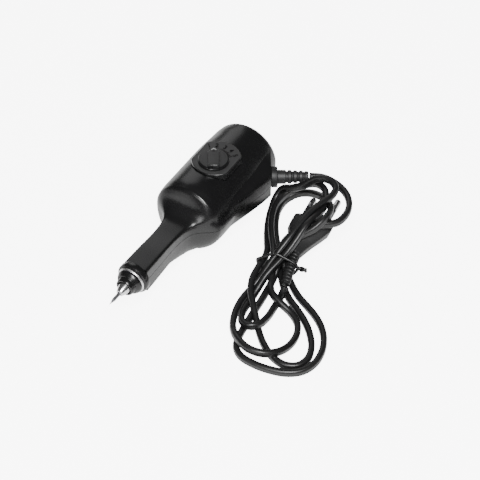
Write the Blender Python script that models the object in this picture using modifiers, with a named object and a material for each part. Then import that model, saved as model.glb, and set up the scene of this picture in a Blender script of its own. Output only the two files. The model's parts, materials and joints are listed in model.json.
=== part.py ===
"""Mains vibrating engraver lying on its belly, with its flat lead tied in a hank and a flat two-pin plug.

Frame: +Z up, the belly flat on z = 0, the tool's axis along Y with the needle towards -Y.
Distances along the tool are counted from the needle's point and are placed with along().
Heights on the tool are counted from its axis and are placed with level().
"""

import math

import bpy
import numpy as np
from mathutils import Euler

MM = 0.001
GAP = 0.3

# The tool's axis
AXIS_HEIGHT = 22.8
BELLY_CENTRE = 104.0
WALL = 2.3

# Neck and nose
COLLAR_RADIUS = 10.5
COLLAR_FRONT = 23.3
COLLAR_REAR = 28.0
RING_RADIUS = 9.1
CAP_FRONT = 15.3
CAP_BORE = 4.7
SLEEVE_BORE = 3.3

# Body
BODY_REAR = 158.2
FACET_ANGLE = 32.5
FACET_X = 25.4
FACET_ALONG = 143.3

# Moving rod
ROD_RADIUS = 2.5
BUSH_CLEARANCE = 0.05
NEEDLE_RADIUS = 1.1
BULKHEAD_FRONT = 76.4
BULKHEAD_REAR = 82.6
BULKHEAD_BORE = 5.8

# Dial
DIAL_ALONG = 114.5
DIAL_X = 1.0
DIAL_PLATE_ALONG = 117.8
DIAL_PLATE_RADIUS = 15.7
DIAL_FLAT = 12.9
DIAL_PLATE_TOP = 25.2
DIAL_PLATE_FLOOR = 19.6
DIAL_STEM_RADIUS = 4.0
KNOB_RADIUS = 9.8
KNOB_ANGLE = 121.5
BAR_SLOPE = 0.13

# Magnet
CORE_FRONT = 95.0
CORE_REAR = 121.0
CORE_HALF_WIDTH = 17.0
CORE_HALF_HEIGHT = 8.0
YOKE_LENGTH = 8.0
CORE_SCREW_ALONG = 117.0
CENTRE_LEG = 4.5
OUTER_LEG = 5.0

# Lead, tie and plug
CORD_RADIUS = 2.1
STRAND_SPACING = 4.7
CORD_POINTS = 150
TIE_RADIUS = 0.5
TIE_PLACE = (62.2, 90.0)
TIE_TURN = 12.0
PLUG_PLACE = (63.9, 132.4, 13.2)
PLUG_TURN = (3.5, -20.0, 4.7)
PLUG_WIDTH = 31.5
PLUG_THICKNESS = 12.6
PLUG_CHAMFER = 4.6
PLUG_CLEAR = 3.4
PIN_CLEAR = 5.8
TAIL_CLEAR = 6.2
PLUG_LENGTH = 36.0
TAIL_LENGTH = 20.5
TAIL_RADIUS = 3.0
TAIL_SWING = 6.5
PIN_RADIUS = 2.0
PIN_LENGTH = 19.0
PIN_SPACING = 17.9


# ---------------------------------------------------------------- helpers

def along(distance):
    """World Y of a distance from the needle's point."""
    return (distance - BELLY_CENTRE) * MM


def level(height):
    """World Z of a height above the tool's axis."""
    return (AXIS_HEIGHT + height) * MM


def clear_scene():
    for item in list(bpy.data.objects):
        bpy.data.objects.remove(item, do_unlink=True)


def new_collection(name, hidden):
    made = bpy.data.collections.new(name)
    made.hide_render = hidden
    bpy.context.scene.collection.children.link(made)
    return made


def new_material(name, colour, metallic, roughness):
    made = bpy.data.materials.new(name)
    made.use_nodes = True
    shader = made.node_tree.nodes["Principled BSDF"]
    shader.inputs["Base Color"].default_value = (*colour, 1.0)
    shader.inputs["Metallic"].default_value = metallic
    shader.inputs["Roughness"].default_value = roughness
    made.diffuse_color = (*colour, 1.0)
    return made


def add_object(name, data, look):
    """Links a new object as a node, or as a cutter when it has no material."""
    made = bpy.data.objects.new(name, data)
    if look is None:
        CUTTERS.objects.link(made)
        made.hide_render = True
        made.display_type = "WIRE"
    else:
        TOOL.objects.link(made)
        made.data.materials.append(MATERIALS[look])
    return made


def mesh_object(name, points, faces, look, smooth=False):
    mesh = bpy.data.meshes.new(name)
    mesh.from_pydata([tuple(c * MM for c in point) for point in points], [], faces)
    mesh.validate()
    mesh.shade_smooth() if smooth else mesh.shade_flat()
    return add_object(name, mesh, look)


def point_along_tool(item, distance, height=0.0, x=0.0):
    """Places an object on the tool with its local +Z along the tool, towards the rear."""
    item.location = (x * MM, along(distance), level(height))
    item.rotation_euler = (-math.pi / 2, 0, 0)
    return item


def place_upright(item, distance, height, x=0.0):
    item.location = (x * MM, along(distance), level(height))
    return item


def turned(name, profile, look, closed=False, steps=20):
    """Solid turned about local Z. The profile's (radius, z) points run down the outer side."""
    points = [(radius * MM, 0.0, z * MM) for radius, z in profile]
    edges = [(i, i + 1) for i in range(len(points) - 1)]
    if closed:
        edges.append((len(points) - 1, 0))
    mesh = bpy.data.meshes.new(name)
    mesh.from_pydata(points, edges, [])
    made = add_object(name, mesh, look)
    screw = made.modifiers.new("Turn", "SCREW")
    screw.axis = "Z"
    screw.steps = steps
    screw.render_steps = steps
    screw.use_merge_vertices = True
    screw.merge_threshold = 0.00001
    screw.use_smooth_shade = True
    return made


def rod(name, radius, bottom, top, look=None, steps=20):
    """Plain cylinder about local Z."""
    return turned(name, [(0, top), (radius, top), (radius, bottom), (0, bottom)], look, steps=steps)


def block(name, size, look=None, bevel=0.0):
    """Box about its own centre."""
    x, y, z = (side / 2 for side in size)
    points = [(sx * x, sy * y, sz * z) for sz in (-1, 1) for sy in (-1, 1) for sx in (-1, 1)]
    faces = [(0, 2, 3, 1), (4, 5, 7, 6), (0, 1, 5, 4), (2, 6, 7, 3), (0, 4, 6, 2), (1, 3, 7, 5)]
    made = mesh_object(name, points, faces, look)
    if bevel:
        add_bevel(made, bevel)
    return made


def prism(name, outline, bottom, top, look=None, bevel=0.0):
    """Outline of (x, y) points, anticlockwise, raised from bottom to top."""
    count = len(outline)
    points = [(x, y, bottom) for x, y in outline] + [(x, y, top) for x, y in outline]
    faces = [tuple(reversed(range(count))), tuple(range(count, 2 * count))]
    for i in range(count):
        j = (i + 1) % count
        faces.append((i, j, j + count, i + count))
    made = mesh_object(name, points, faces, look)
    if bevel:
        add_bevel(made, bevel)
    return made


def slope_top(item, start, slope):
    """Lets the top fall away along the item's own X, from start millimetres."""
    heights = [point.co.z for point in item.data.vertices]
    middle = (min(heights) + max(heights)) / 2
    for point in item.data.vertices:
        if point.co.z > middle:
            point.co.z -= slope * (point.co.x - start * MM)


def add_bevel(item, width, segments=2):
    bevel = item.modifiers.new("Edges", "BEVEL")
    bevel.width = width * MM
    bevel.segments = segments
    bevel.limit_method = "ANGLE"
    bevel.angle_limit = math.radians(40)


def boolean(target, other, operation):
    modifier = target.modifiers.new(operation.title(), "BOOLEAN")
    modifier.operation = operation
    modifier.solver = "EXACT"
    modifier.object = other


def cut(target, *cutters):
    for cutter in cutters:
        boolean(target, cutter, "DIFFERENCE")
    return target


def join(target, *others):
    for other in others:
        boolean(target, other, "UNION")
    return target


def wire(name, route, radius, look, resolution=1):
    """Round wire along a list of (x, distance along the tool, height on the tool)."""
    curve = bpy.data.curves.new(name, "CURVE")
    curve.dimensions = "3D"
    curve.bevel_depth = radius * MM
    curve.bevel_resolution = resolution
    curve.use_fill_caps = True
    spline = curve.splines.new("POLY")
    spline.points.add(len(route) - 1)
    for point, (x, distance, height) in zip(spline.points, route):
        point.co = (x * MM, along(distance), level(height), 1.0)
    return add_object(name, curve, look)


def smooth_route(points, count):
    """Points evenly spaced on a Catmull-Rom curve through the given ones."""
    known = np.array(points, float)
    padded = np.vstack([2 * known[0] - known[1], known, 2 * known[-1] - known[-2]])
    dense = []
    for i in range(len(known) - 1):
        before, start, end, after = padded[i : i + 4]
        for step in range(16):
            t = step / 16
            dense.append(
                0.5
                * (
                    2 * start
                    + (end - before) * t
                    + (2 * before - 5 * start + 4 * end - after) * t * t
                    + (3 * start - before - 3 * end + after) * t**3
                )
            )
    dense.append(known[-1])
    dense = np.array(dense)
    travelled = np.concatenate([[0], np.cumsum(np.linalg.norm(np.diff(dense, axis=0), axis=1))])
    wanted = np.linspace(0, travelled[-1], count)
    return np.column_stack([np.interp(wanted, travelled, dense[:, axis]) for axis in range(3)])


# ---------------------------------------------------------------- housing

# Distance from the point, half width, height, depth, squareness above and below
HOUSING_STATIONS = [
    (28.3, 8.2, 7.6, 10.1, 12.0, 14.0),
    (37.0, 8.1, 7.4, 9.9, 12.0, 14.0),
    (46.0, 7.9, 7.2, 9.5, 12.0, 13.0),
    (53.0, 7.7, 6.9, 9.7, 12.0, 11.0),
    (58.0, 7.7, 6.7, 11.6, 12.0, 8.0),
    (63.5, 8.0, 6.6, 14.6, 11.0, 5.0),
    (69.0, 8.8, 6.6, 17.0, 9.0, 4.0),
    (73.4, 10.3, 7.0, 18.2, 7.0, 3.4),
    (77.0, 13.2, 8.2, 19.3, 5.5, 2.9),
    (79.5, 16.6, 10.3, 20.2, 4.2, 2.6),
    (81.8, 19.8, 13.8, 21.2, 3.2, 2.35),
    (83.8, 21.8, 18.8, 22.2, 2.5, 2.2),
    (85.2, 22.8, 21.8, 22.8, 2.2, 2.1),
    (88.0, 23.5, 23.2, 23.4, 2.05, 2.05),
    (95.0, 23.9, 23.9, 23.9, 2.0, 2.0),
    (128.0, 23.9, 23.9, 23.9, 2.0, 2.0),
    (143.0, 23.1, 23.1, 23.1, 2.0, 2.0),
    (153.0, 22.3, 22.3, 22.3, 2.0, 2.0),
    (156.0, 21.5, 21.5, 21.5, 2.0, 2.0),
    (157.5, 20.2, 20.2, 20.2, 2.0, 2.0),
    (158.2, 18.4, 18.4, 18.4, 2.0, 2.0),
]

# Boss for the lead on the right: distance from the point and how far it reaches sideways
WEDGE_STATIONS = [
    (98.0, 22.6),
    (107.0, 24.7),
    (117.5, 27.2),
    (128.0, 29.3),
    (137.0, 30.3),
    (156.0, 31.4),
]
WEDGE_ROOT_HEIGHT = 12.5
WEDGE_EDGE_HEIGHT = 10.0


def section(half_width, height, depth, power_up, power_down, count):
    """Rounded section in (x, height); a higher power is squarer."""
    outline = []
    for i in range(count):
        angle = 2 * math.pi * i / count
        across, up = math.cos(angle), math.sin(angle)
        power = power_up if up >= 0 else power_down
        half_height = height if up >= 0 else depth
        outline.append(
            (
                math.copysign(abs(across) ** (2 / power), across) * half_width,
                math.copysign(abs(up) ** (2 / power), up) * half_height,
            )
        )
    return outline


def skinned(name, rings):
    """Skin through (distance, outline) rings, with flat ends."""
    count = len(rings[0][1])
    points = []
    for distance, outline in rings:
        for x, height in outline:
            points.append((x, distance - BELLY_CENTRE, AXIS_HEIGHT + height))
    faces = [tuple(range(count))]
    for ring in range(len(rings) - 1):
        for i in range(count):
            j = (i + 1) % count
            here, there = ring * count, (ring + 1) * count
            faces.append((here + i, there + i, there + j))
            faces.append((here + i, there + j, here + j))
    last = (len(rings) - 1) * count
    faces.append(tuple(last + i for i in reversed(range(count))))
    return mesh_object(name, points, faces, None, smooth=True)


def lofted(name, stations, count):
    return skinned(name, [(distance, section(*shape, count)) for distance, *shape in stations])


def wedge(name, inset, rear):
    """The boss that swells out on the right towards the lead's oblique face."""
    rings = []
    root, edge = WEDGE_ROOT_HEIGHT - inset, WEDGE_EDGE_HEIGHT - inset
    for distance, reach in WEDGE_STATIONS:
        side = reach - inset
        upper = [(side, edge - 2.2), (side - 1.6, edge), (19.5 - inset, root), (10.0, root)]
        outline = upper + [(x, -height) for x, height in reversed(upper)]
        rings.append((min(distance, rear), outline))
    return skinned(name, rings)


def inner_stations():
    """The housing's inside: each section shrunk by the wall, and set back where the body flares."""
    kept = []
    for distance, half_width, height, depth, up, down in HOUSING_STATIONS:
        set_back = 1.9 if 56 < distance < 94 else 0.0
        place = min(max(distance + set_back, 31.0), BODY_REAR - WALL)
        if kept and place - kept[-1][0] < 0.5:
            continue
        kept.append((place, half_width - WALL, height - WALL, depth - WALL, up, down))
    return kept


def facet_cutter(name, inset):
    """Large block behind the oblique face that carries the lead's boot."""
    made = block(name, (60, 120, 90))
    angle = math.radians(FACET_ANGLE)
    reach = 30.0 - inset
    made.rotation_euler = (0, 0, angle)
    made.location = (
        (FACET_X + reach * math.cos(angle)) * MM,
        along(FACET_ALONG) + reach * math.sin(angle) * MM,
        level(0),
    )
    return made


def on_boot_axis(item, outwards, height=0.0):
    """Places an object with local +Z along the boot's axis, at a distance outside the facet."""
    angle = math.radians(FACET_ANGLE)
    item.location = (
        (FACET_X + outwards * math.cos(angle)) * MM,
        along(FACET_ALONG) + outwards * math.sin(angle) * MM,
        level(height),
    )
    item.rotation_euler = (0, math.pi / 2, angle)
    return item


HOUSING_SCREWS = {
    "front_left": (-8.8, 79.8),
    "front_right": (8.8, 79.8),
    "rear_left": (-16.5, 124.8),
    "rear_right": (16.5, 124.8),
}


def make_interior():
    """Everything that is hollow inside the body, as one cutter."""
    interior = lofted("interior", inner_stations(), 20)
    floor = block("floor_limit", (80, 200, 20))
    place_upright(floor, 100, -29.6)
    bulkhead = block("bulkhead", (60, BULKHEAD_REAR - BULKHEAD_FRONT, 60))
    place_upright(bulkhead, (BULKHEAD_FRONT + BULKHEAD_REAR) / 2, 0)
    dial_floor = rod("dial_floor", 18.4, 17.3, 40, steps=24)
    place_upright(dial_floor, DIAL_PLATE_ALONG, 0, DIAL_X)
    boss_inside = wedge("wedge_inside", WALL, BODY_REAR - WALL)
    cut(boss_inside, facet_cutter("facet_inside", WALL + 0.2))
    join(interior, boss_inside)
    cut(interior, floor, bulkhead, dial_floor)
    for side in ("left", "right"):
        boss = rod("boss_" + side, 3.2, -30, 30, steps=16)
        x, distance = HOUSING_SCREWS["rear_" + side]
        place_upright(boss, distance, 0, x)
        cut(interior, boss)
    for side, x in (("left", -13.5), ("right", 13.5)):
        post = rod("core_post_" + side, 3.2, -30, -CORE_HALF_HEIGHT - GAP, steps=16)
        place_upright(post, CORE_SCREW_ALONG, 0, x)
        cut(interior, post)
    for side in (-1, 1):
        post = rod("clamp_post", 2.6, -30, -3.4, steps=16)
        x, distance = clamp_place(side)
        place_upright(post, distance, 0, x)
        cut(interior, post)
    return interior


def clamp_place(side):
    """(x, distance along the tool) of a cord-clamp screw, to one side of the boot's axis."""
    angle = math.radians(FACET_ANGLE)
    inwards, sideways = -14.0, 5.2 * side
    x = FACET_X + inwards * math.cos(angle) - sideways * math.sin(angle)
    distance = FACET_ALONG + inwards * math.sin(angle) + sideways * math.cos(angle)
    return x, distance


def make_housing():
    interior = make_interior()
    halves = {}
    for name, sign in (("housing_top", 1), ("housing_bottom", -1)):
        shell = lofted(name + "_skin", HOUSING_STATIONS, 36)
        CUTTERS.objects.unlink(shell)
        TOOL.objects.link(shell)
        shell.name = name
        shell.hide_render = False
        shell.display_type = "TEXTURED"
        shell.data.materials.append(MATERIALS["black_case"])
        other_half = block(name + "_away", (90, 220, 60))
        place_upright(other_half, 100, -sign * (30 - 0.15))
        boss = wedge(name + "_boss", 0.0, BODY_REAR - 1.0)
        cut(boss, facet_cutter(name + "_facet", 0.0))
        join(shell, boss)
        cut(shell, other_half, interior)
        halves[name] = shell
    top, bottom = halves["housing_top"], halves["housing_bottom"]

    bore = point_along_tool(rod("bulkhead_bore", BULKHEAD_BORE, -4, 4), 79.5)
    boot_hole = on_boot_axis(rod("boot_hole", 4.3, -6, 6, steps=20), 0)
    boot_seat = on_boot_axis(rod("boot_seat", 7.1, -0.1, 9, steps=28), 0)
    nose_opening = point_along_tool(rod("nose_opening", 5.35, -6, 6), 30.0)
    for half in (top, bottom):
        cut(half, bore, boot_hole, boot_seat, nose_opening)

    belly = block("belly_cut", (90, 220, 20))
    place_upright(belly, 100, -AXIS_HEIGHT - 10)
    plate_recess = block("plate_recess", (10.6, 20.6, 1.6))
    place_upright(plate_recess, 123.0, -AXIS_HEIGHT)
    cut(bottom, belly, plate_recess)

    dial_recess = prism("dial_recess", dial_outline(GAP), 19.3, 40)
    place_upright(dial_recess, DIAL_PLATE_ALONG, 0, DIAL_X)
    stem_hole = rod("stem_hole", DIAL_STEM_RADIUS + GAP, 10, 40)
    place_upright(stem_hole, DIAL_ALONG, 0, DIAL_X)
    cut(top, dial_recess, stem_hole)

    for name, (x, distance) in HOUSING_SCREWS.items():
        clearance = turned(
            "screw_way_" + name,
            [(0, 7), (1.7, 7), (1.7, -12), (3.1, -12), (3.1, -30), (0, -30)],
            None,
            steps=16,
        )
        place_upright(clearance, distance, 0, x)
        cut(bottom, clearance)
        cut(top, clearance)
    for side, x in (("left", -13.5), ("right", 13.5)):
        hole = rod("core_screw_hole_" + side, 1.55, -17, 0, steps=16)
        place_upright(hole, CORE_SCREW_ALONG, 0, x)
        cut(bottom, hole)
    for side in (-1, 1):
        x, distance = clamp_place(side)
        hole = rod("clamp_hole", 1.25, -12, 0, steps=16)
        place_upright(hole, distance, 0, x)
        cut(bottom, hole)


# ---------------------------------------------------------------- nose and moving rod

def make_nose():
    collar = turned(
        "nose_collar",
        [
            (5.3, COLLAR_REAR),
            (COLLAR_RADIUS - 0.7, COLLAR_REAR),
            (COLLAR_RADIUS, COLLAR_REAR - 0.7),
            (COLLAR_RADIUS, COLLAR_FRONT + 1.4),
            (COLLAR_RADIUS - 1.2, COLLAR_FRONT),
            (5.3, COLLAR_FRONT),
        ],
        "black_case",
        closed=True,
        steps=32,
    )
    point_along_tool(collar, 0)
    ring = turned(
        "nose_ring",
        [(5.3, 23.0), (RING_RADIUS, 23.0), (RING_RADIUS, 22.3), (RING_RADIUS - 0.4, 21.9), (5.3, 21.9)],
        "bright_metal",
        closed=True,
        steps=32,
    )
    point_along_tool(ring, 0)
    cap = turned(
        "nose_cap",
        [
            (SLEEVE_BORE, 36.8),
            (4.8, 36.8),
            (4.8, 21.6),
            (8.5, 21.6),
            (8.5, 21.0),
            (6.9, 18.5),
            (6.3, 18.4),
            (6.1, 17.4),
            (5.6, CAP_FRONT),
            (CAP_BORE, CAP_FRONT),
            (CAP_BORE, 20.4),
            (SLEEVE_BORE, 20.6),
        ],
        "black_case",
        closed=True,
        steps=28,
    )
    point_along_tool(cap, 0)
    for name, front, rear, radius in (
        ("front_bush", 37.4, 49.0, 4.55),
        ("rear_bush", BULKHEAD_FRONT + 0.4, BULKHEAD_REAR - 0.4, BULKHEAD_BORE - GAP),
    ):
        bore = ROD_RADIUS + BUSH_CLEARANCE
        bush = turned(
            name, [(bore, rear), (radius, rear), (radius, front), (bore, front)], "bronze", closed=True
        )
        point_along_tool(bush, 0)


def make_moving_rod():
    shaft = turned(
        "drive_shaft",
        [
            (0, 92.6),
            (1.9, 92.6),
            (1.9, 86.1),
            (ROD_RADIUS, 86.1),
            (ROD_RADIUS, 57.4),
            (4.1, 57.4),
            (4.1, 56.0),
            (ROD_RADIUS, 56.0),
            (ROD_RADIUS, 23.9),
            (1.5, 23.9),
            (1.5, 16.1),
            (0, 16.1),
        ],
        "steel",
    )
    point_along_tool(shaft, 0)
    chuck = turned(
        "chuck",
        [
            (0, 23.6),
            (2.9, 23.6),
            (2.9, 18.2),
            (4.1, 18.0),
            (4.1, 15.6),
            (2.3, 10.6),
            (2.0, 10.3),
            (0, 10.3),
        ],
        "bright_metal",
    )
    point_along_tool(chuck, 0)
    shaft_hole = point_along_tool(rod("chuck_rear_hole", 1.7, 15.8, 30), 0)
    needle_hole = point_along_tool(rod("chuck_front_hole", NEEDLE_RADIUS + 0.15, 5, 15.1), 0)
    grub_hole = rod("grub_hole", 0.95, -8, -0.5, steps=16)
    place_upright(grub_hole, 13.9, 0)
    cut(chuck, shaft_hole, needle_hole, grub_hole)
    needle = turned(
        "engraving_needle",
        [(0, 14.9), (NEEDLE_RADIUS, 14.9), (NEEDLE_RADIUS, 4.2), (0.12, 0.1), (0, 0)],
        "steel",
        steps=20,
    )
    point_along_tool(needle, 0)
    grub = rod("chuck_set_screw", 0.8, -3.2, -NEEDLE_RADIUS - 0.2, "steel", steps=12)
    place_upright(grub, 13.9, 0)
    armature = block("armature", (34, 5, 16), "core_steel", bevel=0.5)
    place_upright(armature, 90.5, 0)
    cut(armature, point_along_tool(rod("armature_hole", 2.05, -6, 6, steps=20), 90.5))
    shaft_nut = prism("shaft_nut", [hexagon_corner(i, 3.4) for i in range(6)], 86.4, 87.7, "steel")
    point_along_tool(shaft_nut, 0)
    cut(shaft_nut, point_along_tool(rod("nut_hole", 2.05, 80, 95, steps=20), 0))
    make_return_spring()


def hexagon_corner(index, radius):
    angle = math.radians(60 * index)
    return radius * math.cos(angle), radius * math.sin(angle)


def make_return_spring():
    turns, points_per_turn = 7, 10
    front, rear = 58.3, 75.7
    route = []
    for i in range(turns * points_per_turn + 1):
        angle = 2 * math.pi * i / points_per_turn
        share = i / (turns * points_per_turn)
        route.append((3.6 * math.cos(angle), front + (rear - front) * share, 3.6 * math.sin(angle)))
    wire("return_spring", route, 0.4, "steel", resolution=0)


# ---------------------------------------------------------------- magnet

def make_magnet():
    w, c = CORE_HALF_WIDTH, CENTRE_LEG
    leg = w - OUTER_LEG
    front, root, rear = CORE_FRONT, CORE_REAR - YOKE_LENGTH, CORE_REAR
    outline = [
        (w, front), (w, rear), (-w, rear), (-w, front), (-leg, front), (-leg, root),
        (-c, root), (-c, front), (c, front), (c, root), (leg, root), (leg, front),
    ]
    outline = [(x, y - BELLY_CENTRE) for x, y in outline]
    core = prism("magnet_core", outline, -CORE_HALF_HEIGHT, CORE_HALF_HEIGHT, "core_steel")
    core.location = (0, 0, level(0))
    for side, x in (("left", -13.5), ("right", 13.5)):
        hole = rod("core_hole_" + side, 1.8, -20, 20, steps=16)
        cut(core, place_upright(hole, CORE_SCREW_ALONG, 0, x))
        screw = turned(
            "core_screw_" + side,
            [(0, 10.4), (2.6, 10.4), (2.6, 8.3), (1.4, 8.3), (1.4, -15), (0, -15)],
            "steel",
            steps=16,
        )
        place_upright(screw, CORE_SCREW_ALONG, 0, x)

    front, rear = CORE_FRONT + 1.0, CORE_REAR - YOKE_LENGTH - GAP
    middle = (front + rear) / 2
    bobbin = block("coil_bobbin", (11.6, rear - front, 18.8), "tan_plastic")
    place_upright(bobbin, middle, 0)
    for name, place in (("front", front + 0.5), ("rear", rear - 0.5)):
        flange = block("bobbin_flange_" + name, (23.4, 1.0, 28.0))
        join(bobbin, place_upright(flange, place, 0))
    bobbin_hole = block("bobbin_hole", (9.6, 60, 16.6))
    cut(bobbin, place_upright(bobbin_hole, middle, 0))

    winding = block("coil_winding", (22.6, rear - front - 2.6, 27.0), "copper", bevel=2.5)
    place_upright(winding, middle, 0)
    winding_hole = block("winding_hole", (12.2, 60, 19.4))
    cut(winding, place_upright(winding_hole, middle, 0))


# ---------------------------------------------------------------- dial

def dial_outline(extra=0.0):
    """Round plate with two straight sides along the tool."""
    radius, flat = DIAL_PLATE_RADIUS + extra, DIAL_FLAT + extra
    limit = math.acos(flat / radius)
    outline = []
    for start, end in ((limit, math.pi - limit), (math.pi + limit, 2 * math.pi - limit)):
        for i in range(13):
            angle = start + (end - start) * i / 12
            outline.append((radius * math.cos(angle), radius * math.sin(angle)))
    return outline


def make_dial():
    plate = prism("dial_plate", dial_outline(), DIAL_PLATE_FLOOR, DIAL_PLATE_TOP, "black_case", bevel=0.5)
    place_upright(plate, DIAL_PLATE_ALONG, 0, DIAL_X)
    stem_way = rod("plate_hole", DIAL_STEM_RADIUS + GAP, 10, 40)
    cut(plate, place_upright(stem_way, DIAL_ALONG, 0, DIAL_X))

    base = DIAL_PLATE_TOP + GAP
    knob = turned(
        "dial_knob",
        [
            (0, base + 1.9),
            (KNOB_RADIUS - 0.7, base + 1.9),
            (KNOB_RADIUS, base + 1.2),
            (KNOB_RADIUS, base),
            (DIAL_STEM_RADIUS, base),
            (DIAL_STEM_RADIUS, 17.3),
            (0, 17.3),
        ],
        "black_knob",
        steps=36,
    )
    place_upright(knob, DIAL_ALONG, 0, DIAL_X)
    reach = KNOB_RADIUS - 0.35
    bar = prism(
        "knob_bar",
        [(-reach, -3.6), (reach - 4.2, -3.9), (reach, 0), (reach - 4.2, 3.9), (-reach, 3.6)],
        base + 1.0,
        base + 5.0,
        bevel=0.7,
    )
    slope_top(bar, -reach, BAR_SLOPE)
    bar.rotation_euler = (0, 0, math.radians(KNOB_ANGLE))
    join(knob, place_upright(bar, DIAL_ALONG, 0, DIAL_X))
    screw_hole = rod("knob_screw_hole", 1.45, 10, 24, steps=16)
    cut(knob, place_upright(screw_hole, DIAL_ALONG, 0, DIAL_X))

    cam = rod("stroke_cam", 5.6, 14.9, 17.0, "tan_plastic", steps=24)
    place_upright(cam, DIAL_ALONG + 0.7, 0, DIAL_X - 0.8)
    cam_way = turned(
        "cam_screw_way", [(0, 30), (1.6, 30), (1.6, 16.2), (2.9, 16.2), (2.9, 10), (0, 10)], None, steps=16
    )
    cut(cam, place_upright(cam_way, DIAL_ALONG, 0, DIAL_X))
    cam_screw = turned(
        "cam_screw", [(0, 23), (1.3, 23), (1.3, 15.9), (2.6, 15.9), (2.6, 15.0), (0, 15.0)], "steel", steps=16
    )
    place_upright(cam_screw, DIAL_ALONG, 0, DIAL_X)

    arm = block("stop_arm", (8, 23.9, 0.7), "steel")
    place_upright(arm, 97.25, 14.4)
    tab = block("arm_tab", (8, 0.8, 10.6))
    join(arm, place_upright(tab, 85.7, 9.4))
    pad = block("stop_pad", (8, 1.3, 3.6), "rubber", bevel=0.3)
    place_upright(pad, 87.05, 6.2)


# ---------------------------------------------------------------- lead entry

def make_boot():
    profile = [
        (0, 24.0), (2.9, 24.0), (3.5, 23.4), (3.6, 21.6), (3.0, 21.3), (3.0, 20.4),
        (3.9, 20.1), (3.9, 18.0), (3.2, 17.7), (3.2, 16.8), (4.1, 16.5), (4.1, 14.4),
        (3.4, 14.1), (3.4, 13.2), (4.4, 12.9), (4.4, 10.8), (3.6, 10.5), (3.6, 9.6),
        (4.5, 9.3), (4.55, 4.2), (6.2, 4.2), (6.7, 3.7), (6.7, 0.3), (4.0, 0.3),
        (4.0, -3.2), (5.8, -3.2), (5.8, -5.2), (4.0, -5.2), (3.6, -8.0), (0, -8.0),
    ]
    boot = turned("cord_boot", profile, "rubber", steps=14)
    on_boot_axis(boot, 0)


def boot_point(outwards, sideways, height):
    """(x, distance along the tool, height) of a point near the boot's axis."""
    angle = math.radians(FACET_ANGLE)
    x = FACET_X + outwards * math.cos(angle) - sideways * math.sin(angle)
    distance = FACET_ALONG + outwards * math.sin(angle) + sideways * math.cos(angle)
    return x, distance, height


def make_inner_wiring():
    angle = math.radians(FACET_ANGLE)
    sheath = block("lead_sheath", (12.0, 6.2, 3.8), "rubber", bevel=1.4)
    x, distance, _ = boot_point(-14.4, 0, 0)
    place_upright(sheath, distance, 0, x)
    sheath.rotation_euler = (0, 0, angle)

    clamp = block("cord_clamp", (5.0, 14.8, 2.4), "tan_plastic", bevel=0.4)
    x, distance, _ = boot_point(-14.0, 0, 0)
    place_upright(clamp, distance, 3.4, x)
    clamp.rotation_euler = (0, 0, angle)
    for name, side in (("left", 1), ("right", -1)):
        x, distance = clamp_place(side)
        way = rod("clamp_way_" + name, 1.3, -5, 10, steps=16)
        cut(clamp, place_upright(way, distance, 0, x))
        screw = turned(
            "clamp_screw_" + name,
            [(0, 6.5), (2.0, 6.5), (2.0, 4.9), (1.05, 4.9), (1.05, -11), (0, -11)],
            "steel",
            steps=14,
        )
        place_upright(screw, distance, 0, x)

    terminal = block("terminal_block", (9.0, 14.0, 8.0), "tan_plastic", bevel=0.6)
    place_upright(terminal, 140.0, -6.0, -8.0)
    for name, offset, look in (("lead_live", 1.5, "brown_wire"), ("lead_neutral", -1.5, "blue_wire")):
        start = boot_point(-20.9, offset, 0)
        before = boot_point(-24.0, offset, -0.6)
        route = [start, before, (1.0, 133.5 + offset, -4.0), (-2.2, 140.0 + 2.0 * offset, -5.6)]
        wire(name, smooth_route(route, 9), 0.9, look)
    for name, x, look in (("coil_lead_left", -8.0, "brown_wire"), ("coil_lead_right", -5.4, "blue_wire")):
        route = [(x, 132.2, -6.2), (x, 129.0, -8.0), (x, 123.0, -11.0), (x, 117.0, -11.2), (x, 113.1, -11.0)]
        wire(name, smooth_route(route, 9), 0.9, look)


def make_small_fittings():
    for name, (x, distance) in HOUSING_SCREWS.items():
        screw = turned(
            "housing_screw_" + name,
            [(0, 6.5), (1.45, 6.5), (1.45, -12.3), (2.8, -12.3), (2.8, -14.6), (0, -14.6)],
            "steel",
            steps=16,
        )
        place_upright(screw, distance, 0, x)
    plate = block("rating_plate", (10.0, 20.0, 0.4), "label_metal", bevel=0)
    place_upright(plate, 123.0, -AXIS_HEIGHT + 0.5)


# ---------------------------------------------------------------- lead, tie and plug

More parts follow.
